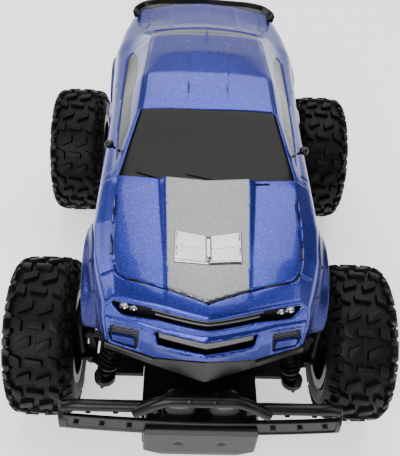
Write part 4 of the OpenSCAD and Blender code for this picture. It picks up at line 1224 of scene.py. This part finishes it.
        parts = MeshParts()
        x = np.linspace(52, -52, 80)[None]
        z = np.linspace(110, 142, 26)[:, None]
        parts.grid(self.at_nose(x + 0 * z, z + 0 * x, 5.0))
        for height, drop, reach, radius in ((144.2, 0.06, 30, 0.42), (142.3, 0.07, 28, 0.65),
                                            (132.4, 0.08, 26, 0.42)):
            across = np.linspace(-reach, reach, 61)
            tube(parts, self.at_nose(across, height - drop * np.abs(across), 2.4), radius, sides=8, mark=1)
        across = np.linspace(26, -26, 61)[None]
        up = np.linspace(-1.8, 1.8, 7)[:, None]
        parts.grid(self.at_nose(across + 0 * up, 129.4 - 0.08 * np.abs(across) + up, 2.2), mark=1)
        parts.piece("grille", [PALETTE.grille, PALETTE.slat],
                    "chassis", "grille_grey", "grille_panel", angle=50)

        parts = MeshParts()
        for s in BOTH:
            for lean in (1, -1):
                start = np.arange(-16, 40, 2.1)[:, None, None]
                along = np.linspace(35, 56, 12)[None, :, None]
                width = np.array([-0.24, 0.24])[None, None, :]
                height = 100 + start + width + (along - 35 if lean > 0 else 56 - along) * 0.8
                ribbon = self.at_nose(s * along + 0 * height, height, 3.0 + 0.2 * lean)
                for line in ribbon[:, :, ::-1 if s > 0 else 1]:
                    if line[..., 2].max() > 109 and line[..., 2].min() < 130:
                        parts.grid(np.clip(line, [-60, -200, 109.5], [60, 0, 130]))
        parts.piece("intake_mesh", [PALETTE.slat], "chassis", "grille_grey", angle=60)

        parts = MeshParts()
        for s in BOTH:
            block = rounded_outline([(39.6, 112.6), (52.6, 110.8), (53, 116.0), (40, 119.2)], 1.0)
            plate(parts, on_side(block, s), 0, 2.6,
                  lambda q: self.at_nose(q[:, 0], q[:, 1], 3.2) - np.outer(q[:, 2], [0, 1, 0]))
        parts.piece("intake_blocks", [PALETTE.blue], "chassis", "body_blue", angle=40)

        parts = MeshParts()
        for s in BOTH:
            for x0, z0, r in ((45.5, 139.2, 2.2), (40.2, 139.8, 1.7)):
                centre = self.at_nose(s * x0, z0, 4.2)
                bowl = [(0, 0.02), (0.3, r * 0.5), (1.2, r * 0.85), (2.4, r), (2.6, r + 0.35), (0, r + 0.4)]
                revolve(parts, bowl, centre, (0, -1, 0), 32)
                glass = [(2.6, 0.02), (2.4, r * 0.5), (1.8, r * 0.9)]
                revolve(parts, glass, centre, (0, -1, 0), 32, mark=1)
        parts.piece("head_lamps", [PALETTE.chrome, PALETTE.lens],
                    "chassis", "lens", "front_lamp_lenses", angle=50)
        self.splitter()

    def splitter(self) -> None:
        """The chin: a black blade whose middle stands higher, along the V of the nose."""
        x = np.concatenate([np.linspace(57.5, 0, 60), np.linspace(0, -57.5, 60)[1:]])
        front = -168.6 + 22.6 * (np.abs(x) / 58) ** 1.04
        high = 107.6 + 1.8 * (np.abs(x) < 29) + 12 * np.clip(1 - np.abs(x) / 29, 0, 1)
        corner = [(1.0, 0.0, 0), (0.0, 0.6, 0), (0.0, 0.0, 1), (0.4, 0.0, 2), (1.2, 0.35, 2), (5.6, 0.35, 2),
                  (5.6, 0.0, 0)]
        rows = []
        for back, lift, level in corner:
            z = {0: 103.1 + lift + 0 * x, 1: high - 0.7, 2: high + lift - 0.35}[level]
            rows.append(np.stack([x, front + back + (0.5 if level else 0), z], -1))
        points = np.stack(rows, 1)
        parts = MeshParts()
        parts.grid(points[:, ::-1], wrap_columns=True)
        parts.cap(points[0])
        parts.cap(points[-1], back=True)
        parts.piece("chin_blade", [PALETTE.trim], "chassis", "trim_black", "chin_splitter", angle=25)

    def tail(self) -> None:
        """The tail: its face, a recessed panel and four round lamps."""
        p = self.end_face(self.tail_edge, self.tail_y)
        keep = all_quads(p)
        everywhere = np.ones(p.shape[:2], bool)
        flipped = p[:, ::-1].copy()
        carve(flipped, [(-55, 138.5), (55, 138.5)], self.front_view, everywhere, 0.7, 0.8)
        panel = [(-19, 120), (-17, 133), (17, 133), (19, 120), (-19, 120)]
        carve(flipped, panel, self.front_view, everywhere, 0.6)
        open_all = all_quads(p)
        turn = np.linspace(0, 2 * np.pi, 60, endpoint=False)
        for x, z in self.tail_lamps:
            ring = np.column_stack([x + self.tail_lamp_r * np.cos(turn), z + self.tail_lamp_r * np.sin(turn)])
            cut(flipped, keep, ring, self.front_view, open_all)
        parts = MeshParts()
        parts.grid(flipped, keep=keep)
        parts.piece("tail_face", [PALETTE.blue], "chassis", "body_blue", wall=1.6)
        parts = MeshParts()
        for x, z in self.tail_lamps:
            centre = (x, 170.4 - 0.2 * abs(x) - 2.2, z)
            dome = [(3.0, 0.02), (2.8, 1.5), (2.3, 3.4), (1.9, 4.2)]
            revolve(parts, dome, centre, (0, 1, 0), 40, mark=1)
            bezel = [(1.9, 4.2), (2.6, 4.5), (2.5, 5.2), (0, 5.45), (-1, 4.5), (-1, 0.02)]
            revolve(parts, bezel, centre, (0, 1, 0), 40)
        parts.piece("tail_lamps_trim", [PALETTE.trim, PALETTE.red_lens],
                    "chassis", "lamp_red", "tail_lamps", angle=50)

    def side_x(self, y: Array, z: Array) -> Array:
        """How far out the body's side is.

        Args:
            y: Places along the truck.
            z: Their heights.

        Returns:
            The side's X at each place, found by three rounds of undoing the sweep.
        """
        c, read = self.curves, read_curve
        power = read(c.plan_power, z)
        station = y - read(c.sweep, y) * 1.15
        for _ in range(3):
            low, mid, high = read(c.sill_x, station), read(c.side_x, station), read(c.belt_x, station)
            zl, zm, zh = read(c.sill_z, station), read(c.side_z, station), read(c.belt_z, station)
            t = np.clip((z - zl) / (zm - zl), 0, 1)
            u = np.clip((z - zm) / (zh - zm), 0, 0.98)
            x = low + (mid - low) * t + (high - mid) * (1 - np.sqrt(1 - u ** 2))
            station = y - read(c.sweep, station) * (x / c.half_width) ** power
        return x

    def flares(self) -> None:
        """Bolted-on flares: a band over each arch that rolls outwards to a lip, with its rivets."""
        band = np.array([(38.4, -0.03), (38.2, 0.12), (37.2, 0.2), (35.2, 0.3), (34.0, 0.5), (33.2, 0.8),
                         (32.4, 0.97), (31.7, 1.0), (31.2, 0.96), (31.0, 0.8), (31.0, 0.3), (31.0, -0.2)])
        fine = np.linspace(0, 1, 40) * 100
        run = np.linspace(0, 1, len(band)) * 100
        r, f = (round_curve(np.column_stack([run, column]), fine, 3.0)[None] for column in band.T)
        parts, rivets = MeshParts(), MeshParts()
        for y0 in self.arch_y:
            a = np.radians(np.linspace(-7, 187, 110))[:, None]
            y, z = y0 + r * np.cos(a), self.arch_z + r * np.sin(a)
            x = self.side_x(y, z)
            x = x + (self.flare_x - x) * f
            ends = np.minimum(a - a[0], a[-1] - a) * self.arch_r
            x -= 1.2 * (1 - blend_step(ends, 0, 1.2))
            both = np.stack([x, y, z], -1)
            for s in BOTH:
                grid = both * [s, 1, 1]
                parts.grid(grid[:, ::-1] if s < 0 else grid)
                for turn in self.rivet_turns:
                    t = math.radians(turn)
                    yr, zr = y0 + self.rivet_r * math.cos(t), self.arch_z + self.rivet_r * math.sin(t)
                    xr = float(self.side_x(np.array(yr), np.array(zr)))
                    xr += 0.24 * (self.flare_x - xr)
                    way = np.array([s * 0.93, 0.3 * math.cos(t), 0.3 * math.sin(t)])
                    revolve(rivets, [(0.75, 0.02), (0.68, 0.5), (0.4, 0.95), (0.0, 1.15), (-0.5, 1.15)],
                            (s * xr, yr, zr), way, 20)
        parts.piece("wheel_arch_flares", [PALETTE.flare_blue],
                    "chassis", "flare_blue", "arch_flares", angle=60, wall=0.8)
        rivets.piece("flare_rivets", [PALETTE.trim], "chassis", "trim_black", angle=60)

    def fittings(self) -> None:
        """The door mirrors and the spoiler."""
        parts = MeshParts()
        for s in BOTH:
            ball(parts, (s * 62.0, -33.0, 163.9), (2.9, 2.3, 2.4), 0.75)
            path = np.linspace((s * 58.6, -31, 159.6), (s * 61.2, -32.6, 162.8), 8)
            tube(parts, path, 0.8, up=(0, 1, 0), sides=12)
        parts.piece("mirrors", [PALETTE.trim], "chassis", "trim_black", "door_mirrors", angle=60)
        corners = [(55, 150.5, 160), (54.6, 157, 160), (48.6, 166.8, 160), (37, 171.4, 160), (0, 174.6, 160)]
        corners += [(-x, y, z) for x, y, z in corners[-2::-1]]
        path = smooth_path(corners, 121, 2.5)
        profile = rounded_outline([(-6.5, -2.9), (2.2, -2.9), (3.6, 2.3), (2.9, 2.9), (1.7, 2.6),
                                   (-0.6, -0.4), (-6.5, -1.4)], 0.5, 4)
        parts = MeshParts()
        sweep(parts, path, profile)
        parts.piece("deck_spoiler", [PALETTE.trim], "chassis", "trim_black", "rear_spoiler", angle=30)


# ---------------------------------------------------------------- wheels


@dataclass
class TreadTyre:
    """A balloon tyre: a casing with blocks standing on it in a pattern that repeats round it."""

    outer_radius: float = 52.5
    half_width: float = 22.0
    tread_depth: float = 3.2
    pitches: int = 14
    rounds: int = 168
    skin: float = 4.2
    shoulder: tuple = (24.5, 30.5)
    foot: float = 0.6
    blur: float = 1.3
    outline: tuple = ((0, 0), (0.34, 0), (0.6, 0.5), (0.78, 1.6), (0.9, 3.6), (0.97, 7), (1, 11.5),
                      (0.98, 15.5), (0.9, 19), (0.8, 22.4))

    def __post_init__(self) -> None:
        """Works the outline out as a smooth curve by its own length."""
        p = np.asarray(self.outline) * [self.half_width, -1] + [0, self.outer_radius]
        p = np.concatenate([p[:0:-1] * [-1, 1], p])
        run = np.concatenate([[0], np.cumsum(np.linalg.norm(np.diff(p, axis=0), axis=1))])
        self.length = run[-1] / 2
        at = np.linspace(-self.length, self.length, 241)
        knots = run - self.length
        self.at = at
        self.w = round_curve(np.column_stack([knots, p[:, 0]]), at, self.blur)
        self.r = round_curve(np.column_stack([knots, p[:, 1]]), at, self.blur)
        self.r = np.minimum(self.r, self.outer_radius)
        slope = np.stack([np.gradient(self.w, at), np.gradient(self.r, at)], 1)
        slope /= np.linalg.norm(slope, axis=1, keepdims=True)
        self.normal = np.stack([-slope[:, 1], slope[:, 0]], 1)

    @property
    def pitch(self) -> float:
        """The length round the tread after which its pattern repeats."""
        return 2 * np.pi * self.outer_radius / self.pitches

    def place(self, u: Array, s: Array, depth: Array, centre: Array) -> Array:
        """Turns places on the tyre's skin into space.

        Args:
            u: Length across the skin from its middle.
            s: Length round the tread.
            depth: How far below the skin.
            centre: The wheel's middle.

        Returns:
            The points, with three numbers along the last axis.
        """
        read = lambda values: np.interp(u, self.at, values)
        w = read(self.w) - depth * read(self.normal[:, 0])
        r = read(self.r) - depth * read(self.normal[:, 1])
        angle = s / self.outer_radius
        return np.stack([centre[0] + w, centre[1] + r * np.cos(angle), centre[2] + r * np.sin(angle)], -1)

    def block(self, parts: MeshParts, outline: Array, centre: Array) -> None:
        """Stands one block on the casing in every pitch, with softened upper edges.

        Args:
            parts: Where they are added.
            outline: The block's outline on the skin, as length across and length round.
            centre: The wheel's middle.
        """
        inward = inward_of(outline)
        rings = [(self.tread_depth + self.foot, -0.35), (0.5, 0.0), (0.12, 0.14), (0.0, 0.5)]
        turns = np.arange(self.pitches) * self.pitch
        n = len(outline)
        points = []
        for depth, shift in rings:
            q = outline + inward * shift
            points.append(self.place(q[None, :, 0] + 0 * turns[:, None], q[None, :, 1] + turns[:, None],
                                     np.full((self.pitches, n), depth), centre))
        points = np.stack(points, 1)
        flat = points.reshape(self.pitches, -1, 3)
        k = np.arange(n)
        nxt = (k + 1) % n
        walls = np.concatenate([np.stack([a * n + k, a * n + nxt, (a + 1) * n + nxt, (a + 1) * n + k], -1)
                                for a in range(len(rings) - 1)])
        shift = (np.arange(self.pitches) * flat.shape[1])[:, None, None]
        parts.add(flat.reshape(-1, 3), (walls[None] + shift).reshape(-1, 4))
        cap = (len(rings) - 1) * n + k
        base = parts.count - flat.size // 3
        parts.add(np.zeros((0, 3)), (cap[None] + shift[:, 0] + base - parts.count).reshape(-1, n))

    def slanted(self, u: float, s: float, wide: float, tall: float, slant: float) -> Array:
        """A parallelogram with rounded corners, leaning by the slant."""
        box = np.array([(-wide, -tall), (wide, -tall), (wide, tall), (-wide, tall)], float)
        box[:, 1] += slant * box[:, 0]
        return rounded_outline(box + [u, s], 0.7, 3)

    def build(self, name: str, centre: Sequence[float], body: str, node: str) -> None:
        """Builds one tyre.

        Args:
            name: The piece's name.
            centre: The wheel's middle, in millimetres.
            body: The body that it turns with.
            node: The plain tyre that it stands for.
        """
        c = np.asarray(centre, float)
        parts = MeshParts()
        u = np.linspace(self.length, -self.length, 160)
        sunk = self.tread_depth * (1 - blend_step(np.abs(u), *self.shoulder))
        line = 0.25 * np.exp(-(u / 0.35) ** 2)
        s = np.arange(self.rounds) * 2 * np.pi * self.outer_radius / self.rounds
        outside = self.place(u[:, None] + 0 * s, s[None] + 0 * u[:, None], (sunk - line)[:, None] + 0 * s, c)
        inside_skin = self.place(u[::-8][:, None] + 0 * s, s[None] + 0 * u[::-8][:, None],
                                 self.skin + 0 * s + 0 * u[::-8][:, None], c)
        parts.grid(np.concatenate([outside, inside_skin]), wrap_rows=True, wrap_columns=True)
        for outline in (self.slanted(-7.0, 5.4, 4.3, 3.0, -0.42), self.slanted(5.2, 6.6, 4.3, 3.0, -0.42),
                        self.slanted(-0.6, 17.6, 5.2, 2.2, 0.14), self.slanted(-11.6, 17.0, 3.0, 3.3, 0.42),
                        self.slanted(11.2, 18.0, 3.0, 3.3, 0.42)):
            self.block(parts, outline, c)
        hook = np.array([(14.6, -5.6), (17.5, -7.8), (24.4, -6.6), (26.4, -3.0), (26.4, 3.0), (24.4, 6.6),
                         (17.5, 7.8), (14.6, 5.6), (15.4, 2.6), (18.6, 3.8), (20.6, 2.4), (20.6, -2.4),
                         (18.6, -3.8), (15.4, -2.6)])
        small = np.array([(17.0, -2.4), (22.6, -2.9), (26.0, 0.0), (22.6, 2.9), (17.0, 2.4)])
        for s0, flip in ((5.0, 1), (5.0 + self.pitch / 2, -1)):
            for shape, offset in ((hook, 0.0), (small, self.pitch / 2)):
                self.block(parts, rounded_outline(on_side(shape, flip) + [0, s0 + offset], 0.6, 3), c)
        parts.piece(name, [PALETTE.rubber], body, "tread_rubber", node, angle=32)


@dataclass
class Wheels:
    """The four tyres."""

    wheel_x: float = 101.0
    front_y: float = -98.0
    rear_y: float = 106.0
    axle_z: float = 52.5

    def build(self) -> None:
        """Builds the four tyres, each on the body that it turns with."""
        tyre = TreadTyre()
        for side in Side:
            word = side.name.lower()
            x = side.value * self.wheel_x
            tyre.build(f"tread_front_{word}", (x, self.front_y, self.axle_z), f"front_wheel_{word}",
                       f"front_tyre_{word}")
            tyre.build(f"tread_rear_{word}", (x, self.rear_y, self.axle_z), "rear_wheels",
                       f"rear_tyre_{word}")


# ---------------------------------------------------------------- bumper


@dataclass
class Bumper:
    """The front bumper: a bowed beam with raised ends, tubes over it, two lamps and a skid plate."""

    half: float = 80.0
    low: float = 62.0
    high: float = 75.0
    tube_r: float = 3.7
    lamp_x: float = 12.9
    lamp_z: float = 79.0
    bow: float = 3.0
    middle_y: float = -177.0

    def face_y(self, x: Array) -> Array:
        """The beam's bow: y = middle + bow (x / half)^2."""
        return self.middle_y + self.bow * (x / self.half) ** 2

    def build(self) -> None:
        """Builds the beam, the tubes, the lamps and the skid plate."""
        self.beam()
        self.tubes()
        self.lamps()
        self.skid()

    @staticmethod
    def forwards(q: Array) -> Array:
        """Stands an outline of X and Z upright, with its height towards the front."""
        return np.column_stack([q[:, 0], -q[:, 2], q[:, 1]])

    def beam(self) -> None:
        """The channel, its raised ends and the stepped middle."""
        x = np.linspace(-self.half, self.half, 81)
        path = np.column_stack([x, self.face_y(x), np.full_like(x, (self.low + self.high) / 2)])
        profile = [(-9, -6.5), (-0.5, -6.5), (0, -6.0), (0, -5.0), (-0.6, -4.5), (-0.6, 4.3), (0, 4.8),
                   (0, 5.9), (-0.5, 6.5), (-2.4, 6.5), (-2.4, -4.1), (-9, -4.1)]
        parts = MeshParts()
        sweep(parts, path, profile)
        wing = rounded_outline([(-174.2, 62), (-165, 62), (-164, 76), (-165, 79), (-169, 79.4), (-174, 72)],
                               1.5)
        for s in BOTH:
            def to_space(q: Array, s: int = s) -> Array:
                """Stands the wing's outline at the beam's end."""
                return np.column_stack([s * (79 + q[:, 2]), q[:, 0], q[:, 1]])
            plate(parts, wing if s > 0 else wing[::-1], 0, 3.4, to_space, 0.7 if s > 0 else -0.7)
        middle = rounded_outline([(-34, 63), (34, 63), (32.5, 70), (-32.5, 70)], 1.2)
        plate(parts, middle, 165, 178.6, self.forwards, 0.7)
        for s in BOTH:
            step = rounded_outline([(5, 70), (24, 70), (22.5, 74.5), (6.5, 74.5)], 0.8)
            plate(parts, on_side(step, s), 165, 174.8, self.forwards, 0.5)
            for x0 in (30.5, 50, 66):
                tab = [(x0 - 1.6, 74), (x0 + 1.6, 74), (x0 + 1.2, 78.6), (x0 - 1.2, 78.6)]
                tab = rounded_outline(tab, 0.6)
                plate(parts, on_side(tab, s), 167.5, 171.5, self.forwards, 0.4)
        parts.piece("bumper_channel", [PALETTE.bumper], "chassis", "bumper_black", "bumper_beam", angle=30)

    def tubes(self) -> None:
        """The hoop over the lamps, with a sleeve on its middle, and a tube on each side."""
        parts = MeshParts()
        corners = [(-38.5, -172.8, 78.5), (-27, -172.5, 87), (-20, -172, 89.9), (20, -172, 89.9),
                   (27, -172.5, 87), (38.5, -172.8, 78.5)]
        path = smooth_path(corners, 161, 2.2)
        x = np.abs(path[:, 0])
        radius = self.tube_r - 0.25 * blend_step(x, 7.2, 8.0) + 0.35 * np.exp(-((x - 7.4) / 0.5) ** 2)
        tube(parts, path, np.minimum(radius, 3.8), sides=32)
        for s in BOTH:
            side = smooth_path([(s * 26, -170.5, 79.8), (s * 33, -170, 80.5), (s * 68, -170, 80.5),
                                (s * 74, -169.2, 79.6), (s * 80, -168.6, 77)], 91, 2.0)
            tube(parts, side, 3.55, sides=28)
        parts.piece("bumper_hoop", [PALETTE.bumper], "chassis", "bumper_black", "bumper_tubes", angle=45)

    def lamps(self) -> None:
        """Two round cans with a bright bowl and a domed lens in each."""
        parts = MeshParts()
        for s in BOTH:
            centre = (s * self.lamp_x, -161, self.lamp_z)
            can = [(9.6, 8.5), (10.3, 8.9), (10.4, 9.5), (9.9, 9.95), (3, 9.95), (1, 9.2), (0, 7), (0, 0.02)]
            bowl = [(4, 0.02), (4.1, 1.8), (5.2, 4.4), (7.2, 7.0), (9.6, 8.5)]
            bulb = [(5.8, 0.02), (5.6, 1.1), (4.9, 1.8), (4.0, 1.9)]
            lens = [(10.6, 0.02), (10.5, 2.5), (10.1, 5.5), (9.6, 8.0), (9.3, 8.6)]
            for profile, segments, mark in ((can, 64, 0), (bowl, 64, 1), (bulb, 32, 1), (lens, 64, 2)):
                revolve(parts, profile, centre, (0, -1, 0), segments, mark)
        parts.piece("bumper_lamps", [PALETTE.bumper, PALETTE.glazing, PALETTE.smoke],
                    "chassis", "bumper_black", angle=45)

    def skid(self) -> None:
        """The plate below the beam, with chamfered corners, a rolled lower lip and two dimples."""
        across = np.linspace(34.5, -34.5, 120)[None]
        t = np.linspace(0, 1, 70)[:, None]
        bottom = 27.4 + 7 * blend_step(np.abs(across), 21.5, 35.5)
        z = bottom + (62 - bottom) * t
        y = np.interp(z, [27, 34, 58, 62], [-170.9, -172.4, -175.4, -175.9])
        y = y + 1.8 * (1 - blend_step(t, 0, 0.07))
        for s in BOTH:
            y = y + 0.7 * np.exp(-(((across - s * 13) / 2.6) ** 2 + ((z - 48) / 2.6) ** 2) ** 2)
        y = y + 0.8 * (1 - blend_step(34.5 - np.abs(across), 0, 1.2))
        parts = MeshParts()
        parts.grid(np.stack([across + 0 * t, y, z], -1))
        parts.piece("skid_guard", [PALETTE.bumper],
                    "chassis", "bumper_black", "skid_plate", angle=40, wall=2.4)


# ---------------------------------------------------------------- scene


@dataclass
class Running:
    """The chassis and running gear, which keep their own shapes and get their finishes here."""

    finishes: dict = field(default_factory=lambda: {
        "body_blue": PALETTE.blue, "flare_blue": PALETTE.flare_blue, "glazing": PALETTE.glazing,
        "trim_black": PALETTE.trim, "grille_grey": PALETTE.grille, "lamp_red": PALETTE.red_lens,
        "lens": PALETTE.lens, "chassis_black": PALETTE.chassis, "arm_black": PALETTE.arm,
        "bumper_black": PALETTE.bumper, "rim_black": PALETTE.rim, "tread_rubber": PALETTE.rubber,
        "bright_steel": PALETTE.steel, "motor_can": PALETTE.can, "gear_nylon": PALETTE.nylon,
        "pinion_brass": PALETTE.brass, "shock_red": PALETTE.trim, "spring_steel": PALETTE.spring,
        "cell_green": PALETTE.cell, "board_green": PALETTE.board, "servo_black": PALETTE.chassis,
        "horn_white": PALETTE.nylon, "switch_red": PALETTE.switch})

    def build(self) -> None:
        """Gives each node the finish of its slot."""
        slots = {part["node"]: part["material_slot"] for part in frame["record"]["subparts"]}
        for name, node in frame["nodes"].items():
            dark = name == "chassis_screws" or name.startswith("front_shock_rod")
            finish = PALETTE.arm if dark else self.finishes[slots[name]]
            for index in range(max(1, len(node.data.materials))):
                if index < len(node.data.materials):
                    node.data.materials[index] = finish.material()
                else:
                    node.data.materials.append(finish.material())


@dataclass
class Studio:
    """The pale floor, the soft lights and the camera."""

    eye: tuple = (-0.019557, -0.40069, 0.44060)
    pitch: float = 43.3156
    yaw: float = -2.8616
    roll: float = -3.6943
    lens: float = 56.842
    lamps: tuple = (("key", (-0.5, -1.1, 0.9), 1.0, 24.0), ("top", (0.1, 0.6, 1.5), 1.5, 30.0),
                    ("fill", (1.2, -0.3, 0.9), 0.9, 7.0), ("side", (-1.3, 0.4, 0.7), 0.8, 8.0))

    def build(self) -> None:
        """Builds the stage."""
        self.floor()
        self.lights()
        self.camera()

    def floor(self) -> None:
        """A white floor that curves up behind the truck."""
        x = np.linspace(-2500, 2500, 60)[None]
        t = np.linspace(-2200, 3600, 120)[:, None]
        z = 900 * blend_step(t, 1500, 3600) ** 1.5 * 2
        parts = MeshParts()
        parts.grid(np.stack([x + 0 * t, t + 0 * x, z + 0 * x], -1)[:, ::-1])
        piece = parts.object("floor", [Backdrop("backdrop_white")])
        piece.location.z = -0.0002
        piece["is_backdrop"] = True

    def lights(self) -> None:
        """A broad key from the left of the picture, a fill from the right and light from above and behind."""
        world = bpy.data.worlds.new("studio")
        bpy.context.scene.world = world
        world.use_nodes = True
        back = world.node_tree.nodes["Background"]
        back.inputs["Color"].default_value = (0.93, 0.96, 1.0, 1.0)
        back.inputs["Strength"].default_value = 0.07
        for name, place, size, power in self.lamps:
            light = bpy.data.lights.new(name, "AREA")
            light.energy = power
            light.size = size
            lamp = bpy.data.objects.new(name, light)
            lamp.location = place
            away = np.asarray(place) - [0, 0, 0.09]
            away /= np.linalg.norm(away)
            right = np.cross([0, 0, 1], away)
            right /= np.linalg.norm(right)
            up = np.cross(away, right)
            lamp.rotation_euler = matrix(right, up, away).to_euler()
            bpy.context.scene.collection.objects.link(lamp)

    def camera(self) -> None:
        """The camera, from its eye point and three angles."""
        e, a, r = map(math.radians, (self.pitch, self.yaw, self.roll))
        level = np.array([math.cos(a), math.sin(a), 0])
        ahead = np.array([-math.sin(a), math.cos(a), 0])
        z = np.array([0, 0, 1.0])
        look = ahead * math.cos(e) - z * math.sin(e)
        over = ahead * math.sin(e) + z * math.cos(e)
        right = math.cos(r) * level - math.sin(r) * over
        up = math.sin(r) * level + math.cos(r) * over
        data = bpy.data.cameras.new("camera")
        data.lens = self.lens
        data.sensor_width = 36.0
        data.clip_start = 0.01
        camera = bpy.data.objects.new("camera", data)
        camera.location = self.eye
        camera.rotation_euler = matrix(right, up, -look).to_euler()
        bpy.context.scene.collection.objects.link(camera)
        bpy.context.scene.camera = camera


def matrix(right: Array, up: Array, back: Array) -> "Matrix":
    """A rotation from its three axes."""
    return Matrix(np.stack([right, up, back], 1).tolist())


def save_sizes() -> None:
    """Puts the CAD box and the finished pieces' box side by side in a dict, which is not kept."""
    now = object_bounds()
    plain = lambda box: [[float(v) for v in corner] for corner in box]
    {"cad": plain(CAD_BOX), "visual": plain(now)}


def main() -> None:
    """Builds the whole scene."""
    logging.basicConfig(level=logging.INFO, format="%(message)s")
    Running().build()
    Bodywork().build()
    Wheels().build()
    Bumper().build()
    Studio().build()
    save_sizes()


if __name__ == "__main__":
    main()
